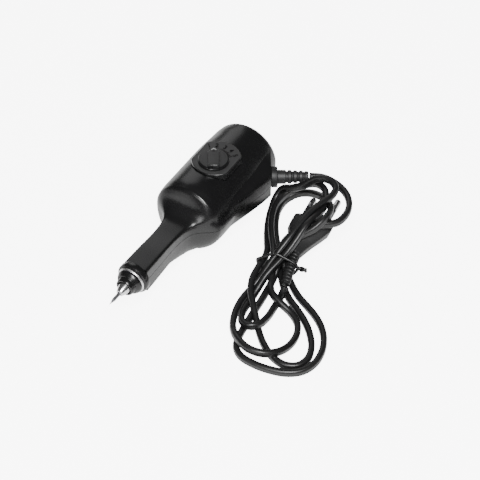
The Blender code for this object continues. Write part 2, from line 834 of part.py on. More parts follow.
# (x, distance along the tool, height above the table) through the hank, from the boot to the plug
HANK_ROUTE = [
    # right outer loop, from the boot
    (51, 158.5, 23.5), (57.5, 159.5, 23.5), (64.5, 158.5, 23.5), (71.5, 156, 23.5), (77, 152, 23.5),
    (81, 145.5, 24), (83, 137.5, 24.5), (82.5, 129, 25), (79.5, 123, 22.5), (75, 120.5, 16.5),
    (70.5, 116, 11.5), (67.5, 109.5, 7.5), (66.5, 102, 5.5),
    # lower outer loop
    (67, 94, 4), (71.5, 87.5, 2.5), (78, 82, 2.5), (86.5, 78.5, 2.5), (94.5, 74.5, 2.5),
    (102, 70, 2.5), (108.5, 65, 2.5), (114, 57, 2.5), (117.5, 48, 2.5), (118, 39, 2.5),
    (115.5, 30.5, 2.5), (109, 25, 2.5), (101, 22, 2.5), (93.5, 20.5, 2.5), (85, 20.5, 2.5),
    (78, 20.5, 2.5), (72.5, 23.5, 2.5), (69, 28.5, 2.5), (69, 34, 2.5), (69, 40, 2.5),
    (68, 48, 2.5), (67.5, 56.5, 2.5), (66, 64.5, 2.5), (64.5, 73, 2.5), (63.5, 80.5, 4),
    (62, 89, 5.5), (61.5, 96, 6),
    # upper inner loop
    (62.5, 101, 7.5), (66, 104.5, 11), (69, 108, 15), (72, 113, 19), (74.5, 118.5, 22),
    (75, 125.5, 23.5), (74, 133.5, 23), (70, 140.5, 21), (63, 148.5, 17), (53.5, 154, 12),
    (45, 156, 8.5), (38.5, 155, 5.5), (34.5, 150.5, 3.5), (33.5, 144, 2.5), (35, 136, 2.5),
    (39, 127.5, 2.5), (43.5, 120, 2.5), (48.5, 112.5, 3), (54, 105, 4.5), (59.5, 99, 5.5),
    # lower inner loop
    (65, 92.5, 5.5), (68.5, 85.5, 3), (74.5, 79, 2.5), (81.5, 73.5, 2.5), (89, 69.5, 2.5),
    (96, 64.5, 2.5), (102.5, 59, 2.5), (108, 52.5, 2.5), (111.5, 46, 2.5), (113.5, 38.5, 2.5),
    (112, 32.5, 2.5), (108, 29, 2.5), (102.5, 28, 2.5), (96, 30, 2.5), (89.5, 33, 2.5),
    (83.5, 37.5, 2.5), (77.5, 43, 2.5), (72, 49, 2.5), (66.5, 55, 3.5), (62, 59, 7), (57.5, 66, 8),
    (54.5, 73.5, 8), (53.5, 81, 9.5), (53, 90, 9), (50.5, 98, 8),
    # upper outer loop, over the boot
    (46, 105.5, 6), (40, 115, 3.5), (35, 124, 2.5), (31.5, 133.5, 2.5), (29, 142.5, 3),
    (29.5, 149, 6), (33.5, 151.5, 12), (40, 151, 21), (45.5, 151.5, 26), (51, 152.5, 28.5),
    (56.5, 153.5, 29.5), (63, 154, 30), (68, 152.5, 30), (71.5, 148, 29), (70.5, 143.5, 28),
    (68.5, 138.5, 27.5), (67.5, 132, 27), (67, 126.5, 26.5), (66, 118, 26), (65.5, 109.5, 25),
    (64, 102.5, 22), (62, 97.5, 18), (61, 91.5, 15),
    # lower ring
    (61.5, 85, 13), (59, 81, 9), (57, 76.5, 5.5), (56, 71, 3), (56, 64, 2.5), (56, 56.5, 2.5),
    (57.5, 48.5, 2.5), (60.5, 41, 2.5), (66.5, 33, 4.5), (73.5, 27, 7.5), (80, 24.5, 7.5),
    (86.5, 24.5, 7.5), (92.5, 27, 7.5), (96, 32.5, 5.5), (98, 41.5, 2.5), (98.5, 50, 2.5),
    (96, 58, 2.5), (91.5, 64, 2.5), (85.5, 67, 2.5), (79.5, 67.5, 4), (74.5, 67, 7.5),
    (69, 70, 7.5), (65.5, 75, 7.5), (63.5, 80, 8.5), (63, 85.5, 10), (61, 91.5, 10), (56, 97, 9.5),
    # upper middle loop
    (49, 105, 8), (43, 114, 6.5), (38, 123.5, 6.5), (34.5, 133, 6.5), (32, 141.5, 7),
    (32.5, 148.5, 8), (35.5, 153, 11), (40.5, 154.5, 16), (47, 154.5, 21), (54.5, 154, 24),
    (60.5, 151, 24.5), (64, 146.5, 23), (68, 142, 22.5), (70.5, 138, 22.5), (70.5, 132, 23),
    (69.5, 123, 23.5), (69, 114, 22.5), (67.5, 107, 19.5), (66, 101, 16), (65, 93.5, 14.5),
    # small loop, to the plug
    (63.5, 87, 12), (62.5, 81.5, 9.5), (61, 77, 6.5), (59.5, 72, 3.5), (59.5, 65.5, 2.5),
    (59.5, 58, 2.5), (61, 50, 3.5), (65, 42.5, 6.5), (70.5, 38, 7.5), (75, 39.5, 7.5),
    (77.5, 44, 7.5), (76.5, 53.5, 5), (75, 63, 2.5), (74, 70, 3.5), (73.5, 75, 6.5),
]


def plug_axes():
    """Unit directions across, along the pins and through the plug, as rows."""
    turn = Euler([math.radians(angle) for angle in PLUG_TURN], "XYZ").to_matrix()
    return np.array(turn.transposed())


def plug_point(across, forwards, through):
    return np.array(PLUG_PLACE) + np.array([across, forwards, through]) @ plug_axes()


def tail_swing(forwards):
    """How far the plug's bendy tail has swung sideways, at a place behind the pins' face."""
    behind = np.clip((-np.asarray(forwards) - 25) / (PLUG_LENGTH + TAIL_LENGTH - 25), 0, 1.2)
    return TAIL_SWING * behind**1.5


def clear_of_plug(points):
    """How far each point has to move so that its strand clears the plug, its pins and its tail."""
    axes = plug_axes()
    across, forwards, through = ((points - np.array(PLUG_PLACE)) @ axes.T).T
    across -= tail_swing(forwards)
    half = np.interp(forwards, [-38, -29, -25, -19, -14, -9], [3.9, 4.9, 6.4, 9.9, 13.0, 15.8])
    tall = np.interp(forwards, [-38, -29, -25, -14], [3.4, 4.4, 5.3, 6.3])
    edge = half - np.minimum(PLUG_CHAMFER, 0.45 * half)
    flat_side = tall + PLUG_CLEAR
    sloped_side = tall + (PLUG_CLEAR - 0.83 * (abs(across) - edge)) / 0.56
    rise = np.minimum(flat_side, sloped_side) - through
    over = (forwards > -38) & (forwards < 2.8) & (through > -1) & (rise > 0)
    push = np.where(over, rise, 0)[:, None] * axes[2]
    for pin in (-PIN_SPACING / 2, PIN_SPACING / 2):
        aside = across - pin
        away = np.maximum(np.hypot(aside, through), 0.1)
        touching = (forwards >= 2) & (forwards < 21.5) & (away < PIN_CLEAR)
        lift = np.where(through > -0.5, np.maximum(through / away, 0.7), through / away)
        amount = np.where(touching, PIN_CLEAR - away, 0)[:, None]
        push += amount * (0.3 * (aside / away)[:, None] * axes[0] + lift[:, None] * axes[2])
    away = np.maximum(np.hypot(across, through), 0.1)
    tail = (forwards <= -38) & (forwards > -PLUG_LENGTH - TAIL_LENGTH - 2) & (away < TAIL_CLEAR)
    tail[-6:] = False
    amount = np.where(tail, TAIL_CLEAR - away, 0)[:, None]
    push += amount * ((across / away)[:, None] * axes[0] + (through / away)[:, None] * axes[2])
    return push


def clear_of_boot(points):
    angle = math.radians(FACET_ANGLE)
    axis = np.array([math.cos(angle), math.sin(angle), 0])
    offset = points - np.array([FACET_X, FACET_ALONG, AXIS_HEIGHT])
    outwards = offset @ axis
    radial = offset - outwards[:, None] * axis
    away = np.maximum(np.linalg.norm(radial, axis=1), 0.1)
    limit = np.where(outwards < 5, 9.7, 7.5)
    touching = (outwards > -2) & (outwards < 25) & (away < limit)
    touching[:14] = False
    return np.where(touching, limit - away, 0)[:, None] * radial / away[:, None]


def settle_strands(route):
    """Eases the strands of the hank apart until they lie over and beside one another."""
    count, lowest = 270, CORD_RADIUS + 0.6
    places = smooth_route(route, count)
    first = places.copy()
    order = np.arange(count)
    apart = abs(order[:, None] - order[None, :]) > 4
    kernel = np.array([1, 2, 3, 2, 1]) / 9
    for _ in range(700):
        offset = places[:, None] - places[None, :]
        away = np.linalg.norm(offset, axis=2)
        close = apart & (away < STRAND_SPACING)
        direction = offset / np.maximum(away, 0.05)[..., None]
        direction[..., 2] += 0.35 * np.sign(offset[..., 2] + 1e-6)
        direction /= np.linalg.norm(direction, axis=2)[..., None] + 1e-9
        amount = np.where(close, (STRAND_SPACING - away) / 2, 0)
        push = (direction * amount[..., None]).sum(axis=1) / np.maximum(close.sum(axis=1), 1)[:, None]
        push += 0.5 * clear_of_plug(places) + 0.5 * clear_of_boot(places)
        push += 0.007 * (first - places)
        for axis in range(3):
            push[:, axis] = np.convolve(np.pad(push[:, axis], 2, mode="edge"), kernel, mode="valid")
        push[0] = push[-1] = 0
        push[1] *= 0.3
        push[-2] *= 0.3
        places += push
        straighter = np.zeros_like(places)
        straighter[2:-2] = (
            4 * (places[1:-3] + places[3:-1]) - places[:-4] - places[4:] - 6 * places[2:-2]
        )
        places += 0.012 * straighter
        from_tie = np.hypot(places[:, 0] - TIE_PLACE[0], places[:, 1] - TIE_PLACE[1])
        places[:, 2] = np.maximum(places[:, 2], lowest + 1.3 * np.clip(2 - from_tie / 8, 0, 1))
    return places


def hank_places():
    """The lead's centre line, in (x, distance along the tool, height above the table)."""
    route = [np.array(boot_point(outwards, 0, AXIS_HEIGHT)) for outwards in (24.8, 29.0)]
    route += [np.array(point, float) for point in HANK_ROUTE]
    end = -PLUG_LENGTH - TAIL_LENGTH
    for place in (end - 5, end - 2.0):
        route.append(plug_point(tail_swing(place), place, 0))
    return settle_strands(route)


def make_lead():
    places = hank_places()
    tube = smooth_route(places[::3].tolist() + [places[-1].tolist()], CORD_POINTS)
    tube[:, 2] -= AXIS_HEIGHT
    wire("power_cord", tube, CORD_RADIUS, "rubber", resolution=2)
    make_tie(places)


def tie_loop(strands):
    """Hull of the strands' places, in (across, height), set off outwards: anticlockwise from the right."""
    angles = np.radians(np.arange(-10, 370, 20))
    normals = np.stack([np.cos(angles), np.sin(angles)], axis=1)
    reach = (strands @ normals.T).max(axis=0)
    loop = []
    for i in range(len(angles) - 1):
        (ax, ay), (bx, by) = normals[i], normals[i + 1]
        across = (reach[i] * by - reach[i + 1] * ay) / (ax * by - ay * bx)
        height = (reach[i + 1] * ax - reach[i] * bx) / (ax * by - ay * bx)
        loop.append((across, max(height, TIE_RADIUS + 0.15)))
    loop.append(loop[0])
    return loop


def make_tie(places):
    """Wire tie round all the strands, its two ends twisted together on the right."""
    turn = math.radians(TIE_TURN)
    sideways = np.array([math.cos(turn), math.sin(turn)])
    lengthways = np.array([-math.sin(turn), math.cos(turn)])
    close_set = np.array([(a * (4 - i) + b * i) / 4 for a, b in zip(places, places[1:]) for i in range(4)])
    flat = close_set[:, :2] - np.array(TIE_PLACE)
    beside, before = flat @ sideways, flat @ lengthways
    near = (abs(before) < 1.5) & (abs(beside) < 20)
    strands = [(beside[i], close_set[i, 2], CORD_RADIUS) for i in np.flatnonzero(near)]
    for i in range(9):
        behind = -PLUG_LENGTH + 4 - 2.0 * i
        tail = plug_point(tail_swing(behind), behind, 0)
        offset = tail[:2] - np.array(TIE_PLACE)
        if abs(offset @ lengthways) < 3:
            strands.append((offset @ sideways, tail[2], TAIL_RADIUS + 0.6))
    rims = []
    for across, height, radius in strands:
        for i in range(12):
            angle = i * math.pi / 6
            spread = radius + TIE_RADIUS + 0.5
            rims.append((across + spread * math.cos(angle), height + spread * math.sin(angle)))
    loop = tie_loop(np.array(rims))
    right, middle = loop[0]
    path = []
    for i in range(6, 0, -1):
        path.append(twist_point(i, right, middle, 0))
    for i, (across, height) in enumerate(loop):
        path.append((across, height, -0.8 + 1.6 * i / (len(loop) - 1)))
    for i in range(1, 7):
        path.append(twist_point(i, right, middle, math.pi))
    route = []
    for across, height, forwards in path:
        x, distance = np.array(TIE_PLACE) + across * sideways + forwards * lengthways
        route.append((x, distance, height - AXIS_HEIGHT))
    wire("cord_tie", route, TIE_RADIUS, "black_knob", resolution=0)


def twist_point(index, right, middle, phase):
    angle = phase - math.pi / 2 + index * math.radians(50)
    return right + 0.9 * index, middle + 0.8 * math.cos(angle), 0.8 * math.sin(angle)


def place_on_plug(item, across=0.0, forwards=0.0, through=0.0, lie_along=False):
    x, distance, height = plug_point(across, forwards, through)
    item.location = (x * MM, along(distance), height * MM)
    turn = Euler([math.radians(angle) for angle in PLUG_TURN], "XYZ").to_matrix()
    if lie_along:
        turn = turn @ Euler((-math.pi / 2, 0, 0), "XYZ").to_matrix()
    item.rotation_euler = turn.to_euler("XYZ")
    return item


def plug_section(half_width, half_height):
    edge = half_width - min(PLUG_CHAMFER, half_width * 0.45)
    upper = [(half_width, 0), (edge, half_height), (-edge, half_height), (-half_width, 0)]
    return upper + [(-edge, -half_height), (edge, -half_height)]


def make_plug():
    rings = [
        (0.0, PLUG_WIDTH / 2 - 0.8, PLUG_THICKNESS / 2 - 0.6),
        (-1.0, PLUG_WIDTH / 2, PLUG_THICKNESS / 2),
        (-8.5, PLUG_WIDTH / 2, PLUG_THICKNESS / 2),
        (-14.0, 12.9, 6.2),
        (-19.5, 9.8, 5.8),
        (-25.0, 6.4, 5.2),
        (-29.5, 4.8, 4.3),
        (-PLUG_LENGTH, 3.9, 3.3),
        (-PLUG_LENGTH - 0.35 * TAIL_LENGTH, TAIL_RADIUS + 0.5, TAIL_RADIUS),
        (-PLUG_LENGTH - 0.7 * TAIL_LENGTH, TAIL_RADIUS + 0.1, TAIL_RADIUS - 0.3),
        (-PLUG_LENGTH - TAIL_LENGTH, TAIL_RADIUS - 0.2, TAIL_RADIUS - 0.5),
    ]
    points = []
    for y, width, height in rings:
        for x, z in plug_section(width, height):
            points.append((x + float(tail_swing(y)), y, z))
    faces = [tuple(range(6))]
    for ring in range(len(rings) - 1):
        for i in range(6):
            j = (i + 1) % 6
            faces.append((ring * 6 + i, (ring + 1) * 6 + i, (ring + 1) * 6 + j, ring * 6 + j))
    last = (len(rings) - 1) * 6
    faces.append(tuple(last + i for i in reversed(range(6))))
    body = mesh_object("plug_body", points, faces, "rubber")
    for face in body.data.polygons:
        face.flip()
    add_bevel(body, 0.7)
    place_on_plug(body)
    for name, side in (("left", -1), ("right", 1)):
        across = side * PIN_SPACING / 2
        sleeve = rod("sleeve_" + name, PIN_RADIUS, -2, 10, steps=20)
        join(body, place_on_plug(sleeve, across, lie_along=True))
    for name, side in (("left", -1), ("right", 1)):
        across = side * PIN_SPACING / 2
        bore = rod("pin_bore_" + name, 1.5, -7.3, 12, steps=16)
        cut(body, place_on_plug(bore, across, lie_along=True))
        pin = turned(
            "plug_pin_" + name,
            [
                (0, PIN_LENGTH),
                (1.2, PIN_LENGTH),
                (PIN_RADIUS, PIN_LENGTH - 1.0),
                (PIN_RADIUS, 10 + GAP),
                (1.2, 10 + GAP),
                (1.2, -7.0),
                (0, -7.0),
            ],
            "bright_metal",
        )
        place_on_plug(pin, across, lie_along=True)


# ---------------------------------------------------------------- run

clear_scene()
TOOL = new_collection("Vibrating_engraver", False)
CUTTERS = new_collection("Cutters", True)
MATERIALS = {
    "black_case": new_material("black_case", (0.012, 0.012, 0.013), 0.0, 0.25),
    "black_knob": new_material("black_knob", (0.02, 0.02, 0.022), 0.0, 0.35),
    "rubber": new_material("rubber", (0.015, 0.015, 0.016), 0.0, 0.6),
    "bright_metal": new_material("bright_metal", (0.75, 0.75, 0.76), 1.0, 0.15),
    "steel": new_material("steel", (0.5, 0.5, 0.52), 1.0, 0.3),
    "bronze": new_material("bronze", (0.5, 0.33, 0.15), 1.0, 0.4),
    "core_steel": new_material("core_steel", (0.25, 0.25, 0.27), 1.0, 0.5),
    "copper": new_material("copper", (0.65, 0.25, 0.1), 1.0, 0.35),
    "tan_plastic": new_material("tan_plastic", (0.6, 0.5, 0.33), 0.0, 0.5),
    "brown_wire": new_material("brown_wire", (0.16, 0.06, 0.02), 0.0, 0.4),
    "blue_wire": new_material("blue_wire", (0.03, 0.12, 0.5), 0.0, 0.4),
    "label_metal": new_material("label_metal", (0.6, 0.6, 0.6), 1.0, 0.4),
}
make_housing()
make_nose()
make_moving_rod()
make_magnet()
make_dial()
make_boot()
make_inner_wiring()
make_small_fittings()
make_lead()
make_plug()
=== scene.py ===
"""Vibrating engraver with its flat lead tied in a hank: looks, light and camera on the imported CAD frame.

Metres throughout; +Z up, the belly flat on z = 0, the tool's axis along Y with the needle towards -Y.
Distances along the tool are counted in millimetres from the needle's point and placed with along().
"""

import json
import math

import bpy
import numpy as np
from mathutils import Euler, Matrix, Vector

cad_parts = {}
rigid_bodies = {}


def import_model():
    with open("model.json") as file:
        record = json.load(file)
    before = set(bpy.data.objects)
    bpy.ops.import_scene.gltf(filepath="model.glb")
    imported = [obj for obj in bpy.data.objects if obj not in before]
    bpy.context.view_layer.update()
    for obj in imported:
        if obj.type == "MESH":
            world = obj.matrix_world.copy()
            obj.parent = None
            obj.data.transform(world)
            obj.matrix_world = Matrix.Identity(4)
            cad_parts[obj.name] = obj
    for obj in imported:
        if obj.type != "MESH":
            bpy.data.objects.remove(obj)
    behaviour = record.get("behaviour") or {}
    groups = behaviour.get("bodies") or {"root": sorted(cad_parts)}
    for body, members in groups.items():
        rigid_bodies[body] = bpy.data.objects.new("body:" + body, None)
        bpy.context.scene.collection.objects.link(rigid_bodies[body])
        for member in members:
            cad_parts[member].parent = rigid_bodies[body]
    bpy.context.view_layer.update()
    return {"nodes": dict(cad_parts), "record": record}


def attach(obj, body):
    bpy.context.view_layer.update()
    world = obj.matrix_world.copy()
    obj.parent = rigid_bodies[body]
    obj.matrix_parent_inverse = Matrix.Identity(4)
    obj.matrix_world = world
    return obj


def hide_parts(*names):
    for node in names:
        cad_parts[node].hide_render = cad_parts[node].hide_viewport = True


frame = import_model()

MM = 0.001
GAP = 0.3

# The tool's axis
AXIS_HEIGHT = 22.8
BELLY_CENTRE = 104.0
WALL = 2.3

# Neck and nose
COLLAR_RADIUS = 10.5
COLLAR_FRONT = 23.3
COLLAR_REAR = 28.0
RING_RADIUS = 9.1
CAP_FRONT = 15.3
CAP_BORE = 4.7
SLEEVE_BORE = 3.3

# Body
BODY_REAR = 158.2
FACET_ANGLE = 32.5
FACET_X = 25.4
FACET_ALONG = 143.3

# Needle, and the bulkhead that its shaft goes through
NEEDLE_RADIUS = 1.1
BULKHEAD_FRONT = 76.4
BULKHEAD_REAR = 82.6
BULKHEAD_BORE = 5.8

# Dial
DIAL_ALONG = 114.5
DIAL_X = 1.0
DIAL_PLATE_ALONG = 117.8
DIAL_PLATE_RADIUS = 15.7
DIAL_FLAT = 12.9
DIAL_PLATE_TOP = 25.2
DIAL_PLATE_FLOOR = 19.6
DIAL_STEM_RADIUS = 4.0
KNOB_RADIUS = 9.8
KNOB_ANGLE = 121.5
BAR_SLOPE = 0.13

# Lead, tie and plug
CORD_RADIUS = 2.1
STRAND_SPACING = 4.7
TIE_RADIUS = 0.5
TIE_PLACE = (62.2, 90.0)
TIE_TURN = 12.0
PLUG_PLACE = (63.9, 132.4, 13.2)
PLUG_TURN = (3.5, -20.0, 4.7)
PLUG_WIDTH = 31.5
PLUG_THICKNESS = 12.6
PLUG_CHAMFER = 4.6
PLUG_CLEAR = 3.4
PIN_CLEAR = 5.8
TAIL_CLEAR = 6.2
PLUG_LENGTH = 36.0
TAIL_LENGTH = 20.5
TAIL_RADIUS = 3.0
TAIL_SWING = 6.5
LEAD_WIDTH = 5.1
LEAD_THICKNESS = 4.2
LEAD_RINGS = 620
TIE_SKIN = 0.95
TIE_RINGS = 300
PIN_RADIUS = 2.0
PIN_LENGTH = 19.0
PIN_SPACING = 17.9
PIN_SLEEVE = 10

# Settling the hank: each round lets strands climb apart, holds them near the route, straightens
SETTLE_POINTS = 270
SETTLE_ROUNDS = 700
CLIMB = 0.35
HOLD = 0.007
STRAIGHTEN = 0.012

# Scale of the dial, in degrees about the knob
SCALE_START = 134
SCALE_END = 50.5
SCALE_STROKES = 13

# A face whose normal's Z is over this looks up, and takes the top material with its painted sheen
LOOKS_UP = 0.95

# Strength of the floor's glow: as light on the tool, and as the camera sees it
FLOOR_LIGHT = 0.45
FLOOR_BACKDROP = 7.0


# ---------------------------------------------------------------- helpers

def along(distance):
    """World Y of a distance from the needle's point."""
    return (distance - BELLY_CENTRE) * MM


def level(height):
    """World Z of a height above the tool's axis."""
    return (AXIS_HEIGHT + height) * MM


def signed_power(value, power):
    return math.copysign(abs(value) ** power, value)


def new_object(name, data):
    made = bpy.data.objects.new(name, data)
    bpy.context.scene.collection.objects.link(made)
    return made


def mesh_object(name, points, faces, smooth=True):
    mesh = bpy.data.meshes.new(name)
    mesh.from_pydata([tuple(c * MM for c in point) for point in points], [], faces)
    mesh.validate()
    if smooth:
        mesh.shade_smooth()
    else:
        mesh.shade_flat()
    return new_object(name, mesh)


def point_along_tool(item, distance=0.0, height=0.0, x=0.0):
    """Places an object on the tool with its local +Z along the tool, towards the rear."""
    item.location = (x * MM, along(distance), level(height))
    item.rotation_euler = (-math.pi / 2, 0, 0)
    return item


def place_upright(item, distance, height, x=0.0):
    item.location = (x * MM, along(distance), level(height))
    return item


def turned(name, profile, closed=False, steps=72):
    """Solid turned about local Z. The profile's (radius, z) points run down the outer side."""
    points = [(radius * MM, 0.0, z * MM) for radius, z in profile]
    edges = [(i, i + 1) for i in range(len(points) - 1)]
    if closed:
        edges.append((len(points) - 1, 0))
    mesh = bpy.data.meshes.new(name)
    mesh.from_pydata(points, edges, [])
    made = new_object(name, mesh)
    screw = made.modifiers.new("Turn", "SCREW")
    screw.axis = "Z"
    screw.steps = steps
    screw.render_steps = steps
    screw.use_merge_vertices = True
    screw.merge_threshold = 0.00001
    return made


def rod(name, radius, bottom, top, steps=48):
    return turned(name, [(0, top), (radius, top), (radius, bottom), (0, bottom)], steps=steps)


def block(name, size):
    x, y, z = (side / 2 for side in size)
    points = [(sx * x, sy * y, sz * z) for sz in (-1, 1) for sy in (-1, 1) for sx in (-1, 1)]
    faces = [(0, 2, 3, 1), (4, 5, 7, 6), (0, 1, 5, 4), (2, 6, 7, 3), (0, 4, 6, 2), (1, 3, 7, 5)]
    return mesh_object(name, points, faces, smooth=False)


def prism(name, outline, bottom, top):
    """Outline of (x, y) points, anticlockwise, raised from bottom to top."""
    count = len(outline)
    points = [(x, y, bottom) for x, y in outline] + [(x, y, top) for x, y in outline]
    faces = [tuple(reversed(range(count))), tuple(range(count, 2 * count))]
    for i in range(count):
        j = (i + 1) % count
        faces.append((i, j, j + count, i + count))
    return mesh_object(name, points, faces, smooth=False)


def skin_faces(count, rings):
    """Faces over rings of count points each, with a flat face at either end."""
    faces = [tuple(reversed(range(count)))]
    for ring in range(rings - 1):
        here, there = ring * count, (ring + 1) * count
        for i in range(count):
            j = (i + 1) % count
            faces.append((here + i, here + j, there + j, there + i))
    last = (rings - 1) * count
    faces.append(tuple(last + i for i in range(count)))
    return faces


def slope_top(item, start, slope, whole=False):
    """Lets the top, or the whole of a thin item, fall away along its own X from start millimetres."""
    heights = [point.co.z for point in item.data.vertices]
    middle = (min(heights) + max(heights)) / 2
    for point in item.data.vertices:
        if whole or point.co.z > middle:
            point.co.z -= slope * (point.co.x - start * MM)


def add_bevel(item, width, segments=3, angle=40):
    bevel = item.modifiers.new("Edges", "BEVEL")
    bevel.width = width * MM
    bevel.segments = segments
    bevel.limit_method = "ANGLE"
    bevel.angle_limit = math.radians(angle)


def combine(target, others, operation):
    """Booleans other objects into the target; they are removed when the target is finished."""
    for other in others:
        modifier = target.modifiers.new(operation.title(), "BOOLEAN")
        modifier.operation = operation
        modifier.solver = "EXACT"
        modifier.object = other
    return target


def cut(target, *cutters):
    return combine(target, cutters, "DIFFERENCE")


def join(target, *others):
    return combine(target, others, "UNION")


def cutters_of(item):
    found = [m.object for m in item.modifiers if m.type == "BOOLEAN"]
    for other in list(found):
        found += cutters_of(other)
    return found


def finished(item, look, body, nodes=(), sharp=32, top_with_painted_sheen=None):
    """Applies the modifiers and the placing, gives the material, and hands the piece to its body.

    The second look, if given, goes to the faces that look up. Here it is a copy of the walls' black: its
    rougher grain is the finish, and its lighter colour is painted sheen, so the lit tops and dark walls
    are lit and shaded copies of one plastic.
    """
    bpy.context.view_layer.update()
    used = cutters_of(item)
    graph = bpy.context.evaluated_depsgraph_get()
    mesh = bpy.data.meshes.new_from_object(item.evaluated_get(graph))
    mesh.transform(item.matrix_world)
    mesh.shade_smooth()
    mesh.set_sharp_from_angle(angle=math.radians(sharp))
    item.modifiers.clear()
    name = item.name
    made = bpy.data.objects.new(name + "_shape", mesh)
    bpy.data.objects.remove(item, do_unlink=True)
    for other in used:
        if other.name in bpy.data.objects:
            other["spent"] = True
    made.name = name
    mesh.name = name
    bpy.context.scene.collection.objects.link(made)
    mesh.materials.clear()
    mesh.materials.append(LOOKS[look])
    # Faces that look up get the second material, painted lighter for sheen; the rest keep the first,
    # darker one
    if top_with_painted_sheen:
        mesh.materials.append(LOOKS[top_with_painted_sheen])
        for face in mesh.polygons:
            face.material_index = int(face.normal.z > LOOKS_UP)
    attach(made, body)
    if nodes:
        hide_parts(*nodes)
    return made


def clear_spent():
    for item in [o for o in bpy.data.objects if o.get("spent")]:
        bpy.data.objects.remove(item, do_unlink=True)


def smooth_route(points, count):
    """Points evenly spaced on a Catmull-Rom curve through the given ones."""
    known = np.array(points, float)
    padded = np.vstack([2 * known[0] - known[1], known, 2 * known[-1] - known[-2]])
    dense = []
    for i in range(len(known) - 1):
        before, start, end, after = padded[i : i + 4]
        for step in range(16):
            t = step / 16
            square = (2 * before - 5 * start + 4 * end - after) * t * t
            cube = (3 * start - before - 3 * end + after) * t**3
            dense.append(0.5 * (2 * start + (end - before) * t + square + cube))
    dense.append(known[-1])
    dense = np.array(dense)
    travelled = np.concatenate([[0], np.cumsum(np.linalg.norm(np.diff(dense, axis=0), axis=1))])
    wanted = np.linspace(0, travelled[-1], count)
    return np.column_stack([np.interp(wanted, travelled, dense[:, axis]) for axis in range(3)])


# ---------------------------------------------------------------- materials

def node(tree, kind, **inputs):
    made = tree.nodes.new(kind)
    for name, value in inputs.items():
        made.inputs[name.replace("_", " ")].default_value = value
    return made


def surface(
    name, colour, roughness, metallic=0.0, grain=0.4, bump=0.05, spread=0.06, tint=0.25,
    stretch=(1, 1, 1), specular=0.5,
):
    """Moulded or turned surface: fine grain in the bump, and slow changes of tone and gloss.

    grain is the size of the grain in millimetres, and stretch draws it out along an axis.
    """
    made = bpy.data.materials.new(name)
    made.use_nodes = True
    tree = made.node_tree
    shader = tree.nodes["Principled BSDF"]
    shader.inputs["Metallic"].default_value = metallic
    shader.inputs["Specular IOR Level"].default_value = specular
    place = tree.nodes.new("ShaderNodeTexCoord")
    mapping = tree.nodes.new("ShaderNodeMapping")
    mapping.inputs["Scale"].default_value = stretch
    tree.links.new(place.outputs["Object"], mapping.inputs["Vector"])

    fine = node(tree, "ShaderNodeTexNoise", Scale=1000 / grain, Detail=3.0)
    broad = node(tree, "ShaderNodeTexNoise", Scale=90.0, Detail=4.0)
    for noise in (fine, broad):
        tree.links.new(mapping.outputs["Vector"], noise.inputs["Vector"])

    gloss = tree.nodes.new("ShaderNodeMapRange")
    gloss.inputs["To Min"].default_value = max(0.02, roughness - spread)
    gloss.inputs["To Max"].default_value = roughness + spread
    tree.links.new(broad.outputs["Fac"], gloss.inputs["Value"])
    tree.links.new(gloss.outputs["Result"], shader.inputs["Roughness"])

    tone = tree.nodes.new("ShaderNodeMix")
    tone.data_type = "RGBA"
    tone.inputs[6].default_value = (*[c * (1 - tint) for c in colour], 1)
    tone.inputs[7].default_value = (*[min(1, c * (1 + tint)) for c in colour], 1)
    tree.links.new(broad.outputs["Fac"], tone.inputs[0])
    tree.links.new(tone.outputs[2], shader.inputs["Base Color"])

    relief = node(tree, "ShaderNodeBump", Strength=bump, Distance=grain * MM * 0.5)
    tree.links.new(fine.outputs["Fac"], relief.inputs["Height"])
    tree.links.new(relief.outputs["Normal"], shader.inputs["Normal"])
    return made


